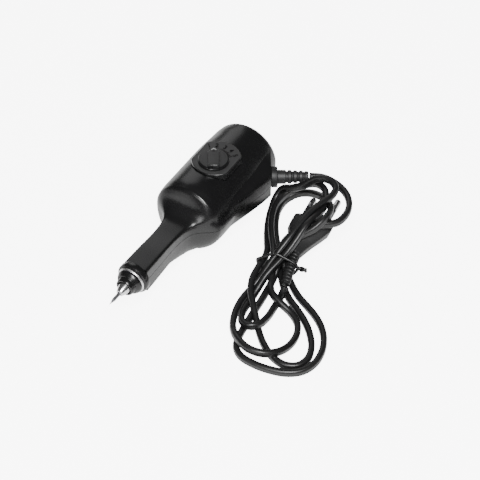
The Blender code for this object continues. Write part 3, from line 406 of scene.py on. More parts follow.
LOOKS = {
    "black_case": surface("black_case", (0.0060, 0.0060, 0.0063), 0.26, grain=0.25, bump=0.05),
    "black_nose": surface("black_nose", (0.0060, 0.0060, 0.0063), 0.24, grain=0.3, bump=0.04),
    # Tops of the knob and the dial plate: rougher, grainier copies of the black, whose lighter colour is
    # painted sheen
    "black_knob": surface("black_knob", (0.022, 0.022, 0.0223), 0.5, grain=0.2, bump=0.15),
    "dial_plate": surface("dial_plate", (0.028, 0.028, 0.0283), 0.52, grain=0.25, bump=0.10),
    "dial_marks": surface(
        "dial_marks", (0.0015, 0.0015, 0.0015), 0.5, grain=0.15, bump=0.1, specular=0.1
    ),
    "white_mark": surface("white_mark", (0.30, 0.30, 0.30), 0.45, grain=0.15, bump=0.1, tint=0.03),
    "rubber": surface("rubber", (0.014, 0.014, 0.0145), 0.50, grain=0.3, bump=0.25),
    "cord_black": surface("cord_black", (0.008, 0.008, 0.0082), 0.36, grain=0.6, bump=0.12),
    "plug_black": surface("plug_black", (0.010, 0.010, 0.0103), 0.42, grain=0.25, bump=0.3),
    "tie_black": surface("tie_black", (0.008, 0.008, 0.008), 0.35, grain=0.3, bump=0.1),
    "bright_metal": surface(
        "bright_metal", (0.88, 0.88, 0.89), 0.20, 1.0, 0.15, 0.06, 0.05, 0.04, (1, 0.12, 1)
    ),
    "ring_metal": surface("ring_metal", (0.90, 0.90, 0.90), 0.34, 1.0, 0.15, 0.06, 0.05, 0.03),
    "steel": surface("steel", (0.48, 0.48, 0.50), 0.28, 1.0, 0.12, 0.15, 0.08, 0.1, (1, 0.1, 1)),
    "hard_steel": surface(
        "hard_steel", (0.45, 0.45, 0.47), 0.32, 1.0, 0.1, 0.2, 0.07, 0.12, (1, 0.08, 1)
    ),
    "bronze": surface("bronze", (0.50, 0.33, 0.15), 0.42, 1.0, 0.2, 0.3, 0.1, 0.12),
    "core_steel": surface("core_steel", (0.22, 0.22, 0.24), 0.5, 1.0, 0.4, 0.3, 0.1, 0.2, (1, 1, 8)),
    "copper": surface("copper", (0.62, 0.24, 0.09), 0.33, 1.0, 0.3, 0.6, 0.08, 0.15, (0.15, 6, 0.15)),
    "tan_plastic": surface("tan_plastic", (0.60, 0.50, 0.33), 0.5, grain=0.3, bump=0.15, tint=0.08),
    "brown_wire": surface("brown_wire", (0.15, 0.055, 0.02), 0.4, grain=0.2, bump=0.1, tint=0.1),
    "blue_wire": surface("blue_wire", (0.03, 0.12, 0.48), 0.4, grain=0.2, bump=0.1, tint=0.1),
    "label_metal": surface(
        "label_metal", (0.58, 0.58, 0.59), 0.36, 1.0, 0.15, 0.2, 0.08, 0.06, (1, 0.1, 1)
    ),
}


def dress_inner_nodes():
    """Gives every CAD node that stays its own slot's material."""
    slot_of = {part["node"]: part["material_slot"] for part in frame["record"]["subparts"]}
    for name, item in frame["nodes"].items():
        look = LOOKS.get(slot_of.get(name), LOOKS["steel"])
        item.data.materials.clear()
        item.data.materials.append(look)


# ---------------------------------------------------------------- lead

# (x, distance along the tool, height above the table) through the hank, from the boot to the plug
HANK_ROUTE = [
    # right outer loop, from the boot
    (51, 158.5, 23.5), (57.5, 159.5, 23.5), (64.5, 158.5, 23.5), (71.5, 156, 23.5), (77, 152, 23.5),
    (81, 145.5, 24), (83, 137.5, 24.5), (82.5, 129, 25), (79.5, 123, 22.5), (75, 120.5, 16.5),
    (70.5, 116, 11.5), (67.5, 109.5, 7.5), (66.5, 102, 5.5),
    # lower outer loop
    (67, 94, 4), (71.5, 87.5, 2.5), (78, 82, 2.5), (86.5, 78.5, 2.5), (94.5, 74.5, 2.5),
    (102, 70, 2.5), (108.5, 65, 2.5), (114, 57, 2.5), (117.5, 48, 2.5), (118, 39, 2.5),
    (115.5, 30.5, 2.5), (109, 25, 2.5), (101, 22, 2.5), (93.5, 20.5, 2.5), (85, 20.5, 2.5),
    (78, 20.5, 2.5), (72.5, 23.5, 2.5), (69, 28.5, 2.5), (69, 34, 2.5), (69, 40, 2.5),
    (68, 48, 2.5), (67.5, 56.5, 2.5), (66, 64.5, 2.5), (64.5, 73, 2.5), (63.5, 80.5, 4),
    (62, 89, 5.5), (61.5, 96, 6),
    # upper inner loop
    (62.5, 101, 7.5), (66, 104.5, 11), (69, 108, 15), (72, 113, 19), (74.5, 118.5, 22),
    (75, 125.5, 23.5), (74, 133.5, 23), (70, 140.5, 21), (63, 148.5, 17), (53.5, 154, 12),
    (45, 156, 8.5), (38.5, 155, 5.5), (34.5, 150.5, 3.5), (33.5, 144, 2.5), (35, 136, 2.5),
    (39, 127.5, 2.5), (43.5, 120, 2.5), (48.5, 112.5, 3), (54, 105, 4.5), (59.5, 99, 5.5),
    # lower inner loop
    (65, 92.5, 5.5), (68.5, 85.5, 3), (74.5, 79, 2.5), (81.5, 73.5, 2.5), (89, 69.5, 2.5),
    (96, 64.5, 2.5), (102.5, 59, 2.5), (108, 52.5, 2.5), (111.5, 46, 2.5), (113.5, 38.5, 2.5),
    (112, 32.5, 2.5), (108, 29, 2.5), (102.5, 28, 2.5), (96, 30, 2.5), (89.5, 33, 2.5),
    (83.5, 37.5, 2.5), (77.5, 43, 2.5), (72, 49, 2.5), (66.5, 55, 3.5), (62, 59, 7), (57.5, 66, 8),
    (54.5, 73.5, 8), (53.5, 81, 9.5), (53, 90, 9), (50.5, 98, 8),
    # upper outer loop, over the boot
    (46, 105.5, 6), (40, 115, 3.5), (35, 124, 2.5), (31.5, 133.5, 2.5), (29, 142.5, 3),
    (29.5, 149, 6), (33.5, 151.5, 12), (40, 151, 21), (45.5, 151.5, 26), (51, 152.5, 28.5),
    (56.5, 153.5, 29.5), (63, 154, 30), (68, 152.5, 30), (71.5, 148, 29), (70.5, 143.5, 28),
    (68.5, 138.5, 27.5), (67.5, 132, 27), (67, 126.5, 26.5), (66, 118, 26), (65.5, 109.5, 25),
    (64, 102.5, 22), (62, 97.5, 18), (61, 91.5, 15),
    # lower ring
    (61.5, 85, 13), (59, 81, 9), (57, 76.5, 5.5), (56, 71, 3), (56, 64, 2.5), (56, 56.5, 2.5),
    (57.5, 48.5, 2.5), (60.5, 41, 2.5), (66.5, 33, 4.5), (73.5, 27, 7.5), (80, 24.5, 7.5),
    (86.5, 24.5, 7.5), (92.5, 27, 7.5), (96, 32.5, 5.5), (98, 41.5, 2.5), (98.5, 50, 2.5),
    (96, 58, 2.5), (91.5, 64, 2.5), (85.5, 67, 2.5), (79.5, 67.5, 4), (74.5, 67, 7.5),
    (69, 70, 7.5), (65.5, 75, 7.5), (63.5, 80, 8.5), (63, 85.5, 10), (61, 91.5, 10), (56, 97, 9.5),
    # upper middle loop
    (49, 105, 8), (43, 114, 6.5), (38, 123.5, 6.5), (34.5, 133, 6.5), (32, 141.5, 7),
    (32.5, 148.5, 8), (35.5, 153, 11), (40.5, 154.5, 16), (47, 154.5, 21), (54.5, 154, 24),
    (60.5, 151, 24.5), (64, 146.5, 23), (68, 142, 22.5), (70.5, 138, 22.5), (70.5, 132, 23),
    (69.5, 123, 23.5), (69, 114, 22.5), (67.5, 107, 19.5), (66, 101, 16), (65, 93.5, 14.5),
    # small loop, to the plug
    (63.5, 87, 12), (62.5, 81.5, 9.5), (61, 77, 6.5), (59.5, 72, 3.5), (59.5, 65.5, 2.5),
    (59.5, 58, 2.5), (61, 50, 3.5), (65, 42.5, 6.5), (70.5, 38, 7.5), (75, 39.5, 7.5),
    (77.5, 44, 7.5), (76.5, 53.5, 5), (75, 63, 2.5), (74, 70, 3.5), (73.5, 75, 6.5),
]


def plug_axes():
    """Unit directions across, along the pins and through the plug, as rows."""
    turn = Euler([math.radians(angle) for angle in PLUG_TURN], "XYZ").to_matrix()
    return np.array(turn.transposed())


def plug_point(across, forwards, through):
    return np.array(PLUG_PLACE) + np.array([across, forwards, through]) @ plug_axes()


def tail_swing(forwards):
    """How far the plug's bendy tail has swung sideways, at a place behind the pins' face."""
    behind = np.clip((-np.asarray(forwards) - 25) / (PLUG_LENGTH + TAIL_LENGTH - 25), 0, 1.2)
    return TAIL_SWING * behind**1.5


def clear_of_plug(points):
    """How far each point has to move so that its strand clears the plug, its pins and its tail."""
    axes = plug_axes()
    across, forwards, through = ((points - np.array(PLUG_PLACE)) @ axes.T).T
    across -= tail_swing(forwards)
    half = np.interp(forwards, [-38, -29, -25, -19, -14, -9], [3.9, 4.9, 6.4, 9.9, 13.0, 15.8])
    tall = np.interp(forwards, [-38, -29, -25, -14], [3.4, 4.4, 5.3, 6.3])
    edge = half - np.minimum(PLUG_CHAMFER, 0.45 * half)
    flat_side = tall + PLUG_CLEAR
    outwards, upwards = 0.83, 0.56  # how the chamfer faces
    sloped_side = tall + (PLUG_CLEAR - outwards * (abs(across) - edge)) / upwards
    rise = np.minimum(flat_side, sloped_side) - through
    over = (forwards > -38) & (forwards < 2.8) & (through > -1) & (rise > 0)
    push = np.where(over, rise, 0)[:, None] * axes[2]
    for pin in (-PIN_SPACING / 2, PIN_SPACING / 2):
        aside = across - pin
        away = np.maximum(np.hypot(aside, through), 0.1)
        touching = (forwards >= 2) & (forwards < 21.5) & (away < PIN_CLEAR)
        lift = np.where(through > -0.5, np.maximum(through / away, 0.7), through / away)
        amount = np.where(touching, PIN_CLEAR - away, 0)[:, None]
        push += amount * (0.3 * (aside / away)[:, None] * axes[0] + lift[:, None] * axes[2])
    away = np.maximum(np.hypot(across, through), 0.1)
    tail = (forwards <= -38) & (forwards > -PLUG_LENGTH - TAIL_LENGTH - 2) & (away < TAIL_CLEAR)
    tail[-6:] = False
    amount = np.where(tail, TAIL_CLEAR - away, 0)[:, None]
    push += amount * ((across / away)[:, None] * axes[0] + (through / away)[:, None] * axes[2])
    return push


def clear_of_boot(points):
    """How far each point has to move so that its strand clears the boot and its flange."""
    angle = math.radians(FACET_ANGLE)
    axis = np.array([math.cos(angle), math.sin(angle), 0])
    offset = points - np.array([FACET_X, FACET_ALONG, AXIS_HEIGHT])
    outwards = offset @ axis
    radial = offset - outwards[:, None] * axis
    away = np.maximum(np.linalg.norm(radial, axis=1), 0.1)
    limit = np.where(outwards < 5, 9.7, 7.5)
    touching = (outwards > -2) & (outwards < 25) & (away < limit)
    touching[:14] = False
    return np.where(touching, limit - away, 0)[:, None] * radial / away[:, None]


def settle_strands(route):
    """Eases the strands of the hank apart until they lie over and beside one another."""
    count, lowest = SETTLE_POINTS, CORD_RADIUS + 0.6
    places = smooth_route(route, count)
    first = places.copy()
    order = np.arange(count)
    apart = abs(order[:, None] - order[None, :]) > 4
    kernel = np.array([1, 2, 3, 2, 1]) / 9
    for _ in range(SETTLE_ROUNDS):
        offset = places[:, None] - places[None, :]
        away = np.linalg.norm(offset, axis=2)
        close = apart & (away < STRAND_SPACING)
        direction = offset / np.maximum(away, 0.05)[..., None]
        direction[..., 2] += CLIMB * np.sign(offset[..., 2] + 1e-6)
        direction /= np.linalg.norm(direction, axis=2)[..., None] + 1e-9
        amount = np.where(close, (STRAND_SPACING - away) / 2, 0)
        push = (direction * amount[..., None]).sum(axis=1) / np.maximum(close.sum(axis=1), 1)[:, None]
        push += 0.5 * clear_of_plug(places) + 0.5 * clear_of_boot(places)
        push += HOLD * (first - places)
        for axis in range(3):
            push[:, axis] = np.convolve(np.pad(push[:, axis], 2, mode="edge"), kernel, mode="valid")
        push[0] = push[-1] = 0
        push[1] *= 0.3
        push[-2] *= 0.3
        places += push
        straighter = np.zeros_like(places)
        beside = 4 * (places[1:-3] + places[3:-1])
        straighter[2:-2] = beside - places[:-4] - places[4:] - 6 * places[2:-2]
        places += STRAIGHTEN * straighter
        from_tie = np.hypot(places[:, 0] - TIE_PLACE[0], places[:, 1] - TIE_PLACE[1])
        places[:, 2] = np.maximum(places[:, 2], lowest + 1.3 * np.clip(2 - from_tie / 8, 0, 1))
    return places


def hank_places():
    """The lead's centre line, in (x, distance along the tool, height above the table)."""
    route = [np.array(boot_point(outwards, 0, AXIS_HEIGHT)) for outwards in (24.8, 29.0)]
    route += [np.array(point, float) for point in HANK_ROUTE]
    end = -PLUG_LENGTH - TAIL_LENGTH
    for place in (end - 5, end - 2.0):
        route.append(plug_point(tail_swing(place), place, 0))
    return settle_strands(route)


def sweep(name, places, profile):
    """Skin of a profile carried along a line, its second axis as upright as the line allows."""
    line = np.array(places, float)
    heading = np.gradient(line, axis=0)
    heading /= np.linalg.norm(heading, axis=1)[:, None]
    vertical = np.array([0.0, 0.0, 1.0])
    up, ups = vertical, []
    for direction in heading:
        flat = vertical - direction * direction[2]
        strength = np.linalg.norm(flat)
        carried = up - direction * (up @ direction)
        carried /= np.linalg.norm(carried)
        wanted = flat / max(strength, 1e-6)
        up = carried * (1 - 0.25 * strength) + wanted * 0.25 * strength
        up /= np.linalg.norm(up)
        ups.append(up)
    ups = np.array(ups)
    for _ in range(8):
        ups[1:-1] = (ups[:-2] + 2 * ups[1:-1] + ups[2:]) / 4
    points = []
    for place, direction, upward in zip(line, heading, ups):
        upward = upward - direction * (upward @ direction)
        upward /= np.linalg.norm(upward)
        side = np.cross(direction, upward)
        for across, thick in profile:
            points.append(tuple(place + side * across + upward * thick))
    return mesh_object(name, points, skin_faces(len(profile), len(line)))


def twin_profile():
    """Twin lead in section, standing on edge: two cores under one sheath, with a shallow waist."""
    profile = []
    for i in range(28):
        angle = 2 * math.pi * i / 28
        across, thick = math.cos(angle), math.sin(angle)
        upright = signed_power(thick, 0.7) * LEAD_WIDTH / 2
        waist = 1 - 0.14 * math.exp(-((upright / 0.6) ** 2))
        profile.append((signed_power(across, 0.8) * LEAD_THICKNESS / 2 * waist, upright))
    return profile


def make_lead():
    places = hank_places()
    line = smooth_route(places[::2].tolist() + [places[-1].tolist()], LEAD_RINGS)
    line[:, 2] = np.maximum(line[:, 2], LEAD_WIDTH / 2 + 0.05)
    world = line - [0, BELLY_CENTRE, 0]
    lead = sweep("power_lead", world, twin_profile())
    piece = finished(lead, "cord_black", "case", ["power_cord"], sharp=60)
    tie = make_tie(places)
    length = float(np.linalg.norm(np.diff(world, axis=0), axis=1).sum()) * MM
    return piece, tie, world * MM, length


def tie_loop(strands):
    """Hull of the strands' rims, in (across, height), anticlockwise from the right."""
    angles = np.radians(np.arange(-10, 370, 20))
    normals = np.stack([np.cos(angles), np.sin(angles)], axis=1)
    reach = (strands @ normals.T).max(axis=0)
    loop = []
    for i in range(len(angles) - 1):
        (ax, ay), (bx, by) = normals[i], normals[i + 1]
        across = (reach[i] * by - reach[i + 1] * ay) / (ax * by - ay * bx)
        height = (reach[i + 1] * ax - reach[i] * bx) / (ax * by - ay * bx)
        loop.append((across, max(height, TIE_SKIN + 0.1)))
    loop.append(loop[0])
    return loop


def make_tie(places):
    """Wire tie round all the strands, its two ends twisted together on the right."""
    turn = math.radians(TIE_TURN)
    sideways = np.array([math.cos(turn), math.sin(turn)])
    lengthways = np.array([-math.sin(turn), math.cos(turn)])
    close_set = np.array(
        [(a * (4 - i) + b * i) / 4 for a, b in zip(places, places[1:]) for i in range(4)]
    )
    flat = close_set[:, :2] - np.array(TIE_PLACE)
    beside, before = flat @ sideways, flat @ lengthways
    near = (abs(before) < 1.5) & (abs(beside) < 20)
    strands = [(beside[i], close_set[i, 2], CORD_RADIUS) for i in np.flatnonzero(near)]
    for i in range(9):
        behind = -PLUG_LENGTH + 4 - 2.0 * i
        tail = plug_point(tail_swing(behind), behind, 0)
        offset = tail[:2] - np.array(TIE_PLACE)
        if abs(offset @ lengthways) < 3:
            strands.append((offset @ sideways, tail[2], TAIL_RADIUS + 0.6))
    rims = []
    for across, height, radius in strands:
        for i in range(12):
            angle = i * math.pi / 6
            spread = radius + TIE_RADIUS + 0.5
            rims.append((across + spread * math.cos(angle), height + spread * math.sin(angle)))
    loop = tie_loop(np.array(rims))
    right, middle = loop[0]
    path = []
    for i in range(6, 0, -1):
        path.append(twist_point(i, right, middle, 0))
    for i, (across, height) in enumerate(loop):
        path.append((across, height, -0.8 + 1.6 * i / (len(loop) - 1)))
    for i in range(1, 7):
        path.append(twist_point(i, right, middle, math.pi))
    route = []
    for across, height, forwards in path:
        x, distance = np.array(TIE_PLACE) + across * sideways + forwards * lengthways
        route.append((x, distance, height))
    line = smooth_route(route, TIE_RINGS) - [0, BELLY_CENTRE, 0]
    circle = [
        (TIE_SKIN * math.cos(math.pi * i / 5), TIE_SKIN * math.sin(math.pi * i / 5))
        for i in range(10)
    ]
    return finished(sweep("wire_tie", line, circle), "tie_black", "case", ["cord_tie"], sharp=60)


def twist_point(index, right, middle, phase):
    angle = phase - math.pi / 2 + index * math.radians(50)
    return right + 0.9 * index, middle + 0.8 * math.cos(angle), 0.8 * math.sin(angle)


def place_on_plug(item, across=0.0, forwards=0.0, through=0.0, lie_along=False):
    x, distance, height = plug_point(across, forwards, through)
    item.location = (x * MM, along(distance), height * MM)
    turn = Euler([math.radians(angle) for angle in PLUG_TURN], "XYZ").to_matrix()
    if lie_along:
        turn = turn @ Euler((-math.pi / 2, 0, 0), "XYZ").to_matrix()
    item.rotation_euler = turn.to_euler("XYZ")
    return item


def plug_section(half_width, half_height):
    edge = half_width - min(PLUG_CHAMFER, half_width * 0.45)
    upper = [(half_width, 0), (edge, half_height), (-edge, half_height), (-half_width, 0)]
    return upper + [(-edge, -half_height), (edge, -half_height)]


def make_plug():
    rings = [
        (0.0, PLUG_WIDTH / 2 - 0.8, PLUG_THICKNESS / 2 - 0.6),
        (-1.0, PLUG_WIDTH / 2, PLUG_THICKNESS / 2),
        (-8.5, PLUG_WIDTH / 2, PLUG_THICKNESS / 2),
        (-14.0, 12.9, 6.2),
        (-19.5, 9.8, 5.8),
        (-25.0, 6.4, 5.2),
        (-29.5, 4.8, 4.3),
        (-31.5, 4.4, 3.9),
    ]
    points = [(x, y, z) for y, width, height in rings for x, z in plug_section(width, height)]
    body = mesh_object("plug_shell", points, skin_faces(6, len(rings)))
    add_bevel(body, 1.1, segments=4, angle=12)
    place_on_plug(body)
    sleeves = []
    for name, side in (("left", -1), ("right", 1)):
        across = side * PIN_SPACING / 2
        sleeve = rod("sleeve_" + name, PIN_RADIUS, -2, PIN_SLEEVE)
        join(body, place_on_plug(sleeve, across, lie_along=True))
        bore = rod("pin_bore_" + name, 1.5, -7.3, 12)
        sleeves.append(place_on_plug(bore, across, lie_along=True))
    cut(body, *sleeves)
    finished(body, "plug_black", "case", ["plug_body"])
    make_plug_tail()
    for name, side in (("left", -1), ("right", 1)):
        pin = turned(
            "pin_" + name,
            [
                (0, PIN_LENGTH),
                (0.9, PIN_LENGTH),
                (1.5, PIN_LENGTH - 0.25),
                (1.9, PIN_LENGTH - 0.8),
                (PIN_RADIUS, PIN_LENGTH - 1.4),
                (PIN_RADIUS, PIN_SLEEVE + GAP),
                (1.2, PIN_SLEEVE + GAP),
                (1.2, -7.0),
                (0, -7.0),
            ],
        )
        place_on_plug(pin, side * PIN_SPACING / 2, lie_along=True)
        finished(pin, "bright_metal", "case", ["plug_pin_" + name])


def make_plug_tail():
    """Bendy tail of the plug: ribs that get smaller towards the lead."""
    rows = [(-30.0, 4.2, 3.6, 0)]
    count = 9
    for rib in range(count):
        front = -31.5 - rib * (PLUG_LENGTH + TAIL_LENGTH - 32.5) / count
        size = 1 - 0.3 * rib / (count - 1)
        for behind, swell in ((0.0, 0), (0.25, 0.45), (0.5, 0.6), (1.5, 0.6), (1.75, 0.45), (2.0, 0)):
            rows.append((front - behind, 3.2 * size + 0.3, 2.8 * size + 0.2, swell))
    rows.append((-PLUG_LENGTH - TAIL_LENGTH + 0.2, 2.6, 2.3, 0))
    rows.append((-PLUG_LENGTH - TAIL_LENGTH, 2.3, 2.0, 0))
    points, sides = [], 28
    for forwards, width, height, swell in rows:
        for i in range(sides):
            angle = 2 * math.pi * i / sides
            x = (width + swell) * math.cos(angle) + float(tail_swing(forwards))
            points.append((x, forwards, (height + swell) * math.sin(angle)))
    tail = mesh_object("plug_tail", points, skin_faces(sides, len(rows)))
    finished(place_on_plug(tail), "plug_black", "case", sharp=50)


# ---------------------------------------------------------------- housing

# Distance from the point, half width, height, depth, squareness above and below
HOUSING_STATIONS = [
    (28.3, 8.2, 7.6, 10.1, 12.0, 14.0),
    (37.0, 8.1, 7.4, 9.9, 12.0, 14.0),
    (46.0, 7.9, 7.2, 9.5, 12.0, 13.0),
    (53.0, 7.7, 6.9, 9.7, 12.0, 11.0),
    (58.0, 7.7, 6.7, 11.6, 12.0, 8.0),
    (63.5, 8.0, 6.6, 14.6, 11.0, 5.0),
    (69.0, 8.8, 6.6, 17.0, 9.0, 4.0),
    (73.4, 10.3, 7.0, 18.2, 7.0, 3.4),
    (77.0, 13.2, 8.2, 19.3, 5.5, 2.9),
    (79.5, 16.6, 10.3, 20.2, 4.2, 2.6),
    (81.8, 19.8, 13.8, 21.2, 3.2, 2.35),
    (83.8, 21.8, 18.8, 22.2, 2.5, 2.2),
    (85.2, 22.8, 21.8, 22.8, 2.2, 2.1),
    (88.0, 23.5, 23.2, 23.4, 2.05, 2.05),
    (95.0, 23.9, 23.9, 23.9, 2.0, 2.0),
    (128.0, 23.9, 23.9, 23.9, 2.0, 2.0),
    (143.0, 23.1, 23.1, 23.1, 2.0, 2.0),
    (153.0, 22.3, 22.3, 22.3, 2.0, 2.0),
    (156.0, 21.5, 21.5, 21.5, 2.0, 2.0),
    (157.5, 20.2, 20.2, 20.2, 2.0, 2.0),
    (158.2, 18.4, 18.4, 18.4, 2.0, 2.0),
]

# Boss for the lead on the right: distance from the point and how far it reaches sideways
WEDGE_STATIONS = [
    (98.0, 22.6),
    (107.0, 24.7),
    (117.5, 27.2),
    (128.0, 29.3),
    (137.0, 30.3),
    (156.0, 31.4),
]
WEDGE_ROOT_HEIGHT = 12.5
WEDGE_EDGE_HEIGHT = 10.0


def section(half_width, height, depth, power_up, power_down, count):
    """Rounded section in (x, height); a higher power is squarer."""
    outline = []
    for i in range(count):
        angle = 2 * math.pi * i / count
        across, up = math.cos(angle), math.sin(angle)
        power = power_up if up >= 0 else power_down
        half_height = height if up >= 0 else depth
        x, y = signed_power(across, 2 / power), signed_power(up, 2 / power)
        outline.append((x * half_width, y * half_height))
    return outline


def skinned(name, rings):
    """Skin through (distance, outline) rings, with flat ends."""
    count = len(rings[0][1])
    points = []
    for distance, outline in rings:
        for x, height in outline:
            points.append((x, distance - BELLY_CENTRE, AXIS_HEIGHT + height))
    faces = [tuple(range(count))]
    for ring in range(len(rings) - 1):
        for i in range(count):
            j = (i + 1) % count
            here, there = ring * count, (ring + 1) * count
            faces.append((here + i, there + i, there + j))
            faces.append((here + i, there + j, here + j))
    last = (len(rings) - 1) * count
    faces.append(tuple(last + i for i in reversed(range(count))))
    return mesh_object(name, points, faces)


def lofted(name, stations, count):
    return skinned(name, [(distance, section(*shape, count)) for distance, *shape in stations])


def fine_stations(steps):
    """Stations in between the known ones, on a smooth curve that doesn't overshoot."""
    known = np.array(HOUSING_STATIONS)
    slope = np.gradient(known, known[:, 0], axis=0)
    rise = np.diff(known, axis=0) / np.diff(known[:, 0])[:, None]
    for axis in range(1, known.shape[1]):
        for i in range(len(known)):
            before, after = rise[max(i - 1, 0), axis], rise[min(i, len(rise) - 1), axis]
            if before * after <= 0:
                slope[i, axis] = 0
            else:
                limit = 3 * min(abs(before), abs(after))
                slope[i, axis] = math.copysign(min(abs(slope[i, axis]), limit), slope[i, axis])
    made = []
    for i in range(len(known) - 1):
        span = known[i + 1, 0] - known[i, 0]
        for step in range(steps):
            t = step / steps
            a, b = 2 * t**3 - 3 * t**2 + 1, t**3 - 2 * t**2 + t
            c, d = 3 * t**2 - 2 * t**3, t**3 - t**2
            row = a * known[i] + b * span * slope[i] + c * known[i + 1] + d * span * slope[i + 1]
            row[0] = known[i, 0] + span * t
            made.append(row)
    made.append(known[-1])
    return made


def wedge(name, inset, rear):
    """The boss that swells out on the right towards the lead's oblique face."""
    rings = []
    root, edge = WEDGE_ROOT_HEIGHT - inset, WEDGE_EDGE_HEIGHT - inset
    for distance, reach in WEDGE_STATIONS:
        side = reach - inset
        upper = [(side, edge - 2.2), (side - 1.6, edge), (19.5 - inset, root), (10.0, root)]
        outline = upper + [(x, -height) for x, height in reversed(upper)]
        rings.append((min(distance, rear), outline))
    return skinned(name, rings)


def inner_stations():
    """The housing's inside: each section shrunk by the wall, and set back where the body flares."""
    kept = []
    for distance, half_width, height, depth, up, down in HOUSING_STATIONS:
        set_back = 1.9 if 56 < distance < 94 else 0.0
        place = min(max(distance + set_back, 31.0), BODY_REAR - WALL)
        if kept and place - kept[-1][0] < 0.5:
            continue
        kept.append((place, half_width - WALL, height - WALL, depth - WALL, up, down))
    return kept


def facet_cutter(name, inset):
    """Large block behind the oblique face that carries the lead's boot."""
    made = block(name, (60, 120, 90))
    angle = math.radians(FACET_ANGLE)
    reach = 30.0 - inset
    made.rotation_euler = (0, 0, angle)
    made.location = (
        (FACET_X + reach * math.cos(angle)) * MM,
        along(FACET_ALONG) + reach * math.sin(angle) * MM,
        level(0),
    )
    return made


def on_boot_axis(item, outwards, height=0.0):
    """Places an object with local +Z along the boot's axis, at a distance outside the facet."""
    angle = math.radians(FACET_ANGLE)
    item.location = (
        (FACET_X + outwards * math.cos(angle)) * MM,
        along(FACET_ALONG) + outwards * math.sin(angle) * MM,
        level(height),
    )
    item.rotation_euler = (0, math.pi / 2, angle)
    return item


HOUSING_SCREWS = {
    "front_left": (-8.8, 79.8),
    "front_right": (8.8, 79.8),
    "rear_left": (-16.5, 124.8),
    "rear_right": (16.5, 124.8),
}


def make_interior():
    interior = lofted("interior", inner_stations(), 40)
    floor = place_upright(block("floor_limit", (80, 200, 20)), 100, -29.6)
    bulkhead = block("bulkhead", (60, BULKHEAD_REAR - BULKHEAD_FRONT, 60))
    place_upright(bulkhead, (BULKHEAD_FRONT + BULKHEAD_REAR) / 2, 0)
    dial_floor = place_upright(rod("dial_floor", 18.4, 17.3, 40), DIAL_PLATE_ALONG, 0, DIAL_X)
    boss_inside = wedge("wedge_inside", WALL, BODY_REAR - WALL)
    cut(boss_inside, facet_cutter("facet_inside", WALL + 0.2))
    join(interior, boss_inside)
    cut(interior, floor, bulkhead, dial_floor)
    return interior


def make_housing():
    interior = make_interior()
    bore = point_along_tool(rod("bulkhead_bore", BULKHEAD_BORE, -4, 4), 79.5)
    boot_hole = on_boot_axis(rod("boot_hole", 4.3, -6, 6), 0)
    boot_seat = on_boot_axis(rod("boot_seat", 7.1, -0.1, 9), 0)
    nose_opening = point_along_tool(rod("nose_opening", 5.35, -6, 6), 30.0)
    belly = place_upright(block("belly_cut", (90, 220, 20)), 100, -AXIS_HEIGHT - 10)
    plate_recess = place_upright(block("plate_recess", (10.6, 20.6, 1.6)), 123.0, -AXIS_HEIGHT)
    dial_recess = prism("dial_recess", dial_outline(GAP), 19.3, 40)
    place_upright(dial_recess, DIAL_PLATE_ALONG, 0, DIAL_X)
    stem_hole = place_upright(rod("stem_hole", DIAL_STEM_RADIUS + GAP, 10, 40), DIAL_ALONG, 0, DIAL_X)
    screw_ways = []
    for name, (x, distance) in HOUSING_SCREWS.items():
        profile = [(0, 7), (1.7, 7), (1.7, -12), (3.1, -12), (3.1, -30), (0, -30)]
        screw_ways.append(place_upright(turned("screw_way_" + name, profile, steps=32), distance, 0, x))
    for name, sign in (("housing_top", 1), ("housing_bottom", -1)):
        shell = lofted("case_" + name, fine_stations(5), 96)
        other_half = place_upright(block(name + "_away", (90, 220, 60)), 100, -sign * (30 - 0.15))
        boss = wedge(name + "_boss", 0.0, BODY_REAR - 1.0)
        add_bevel(boss, 1.6, segments=4, angle=25)
        cut(boss, facet_cutter(name + "_facet", 0.0))
        join(shell, boss)
        cut(shell, other_half, interior, bore, boot_hole, boot_seat, nose_opening)
        if sign > 0:
            cut(shell, dial_recess, stem_hole)
        else:
            cut(shell, belly, plate_recess, *screw_ways)
        finished(shell, "black_case", "case", [name], sharp=28)


# ---------------------------------------------------------------- nose

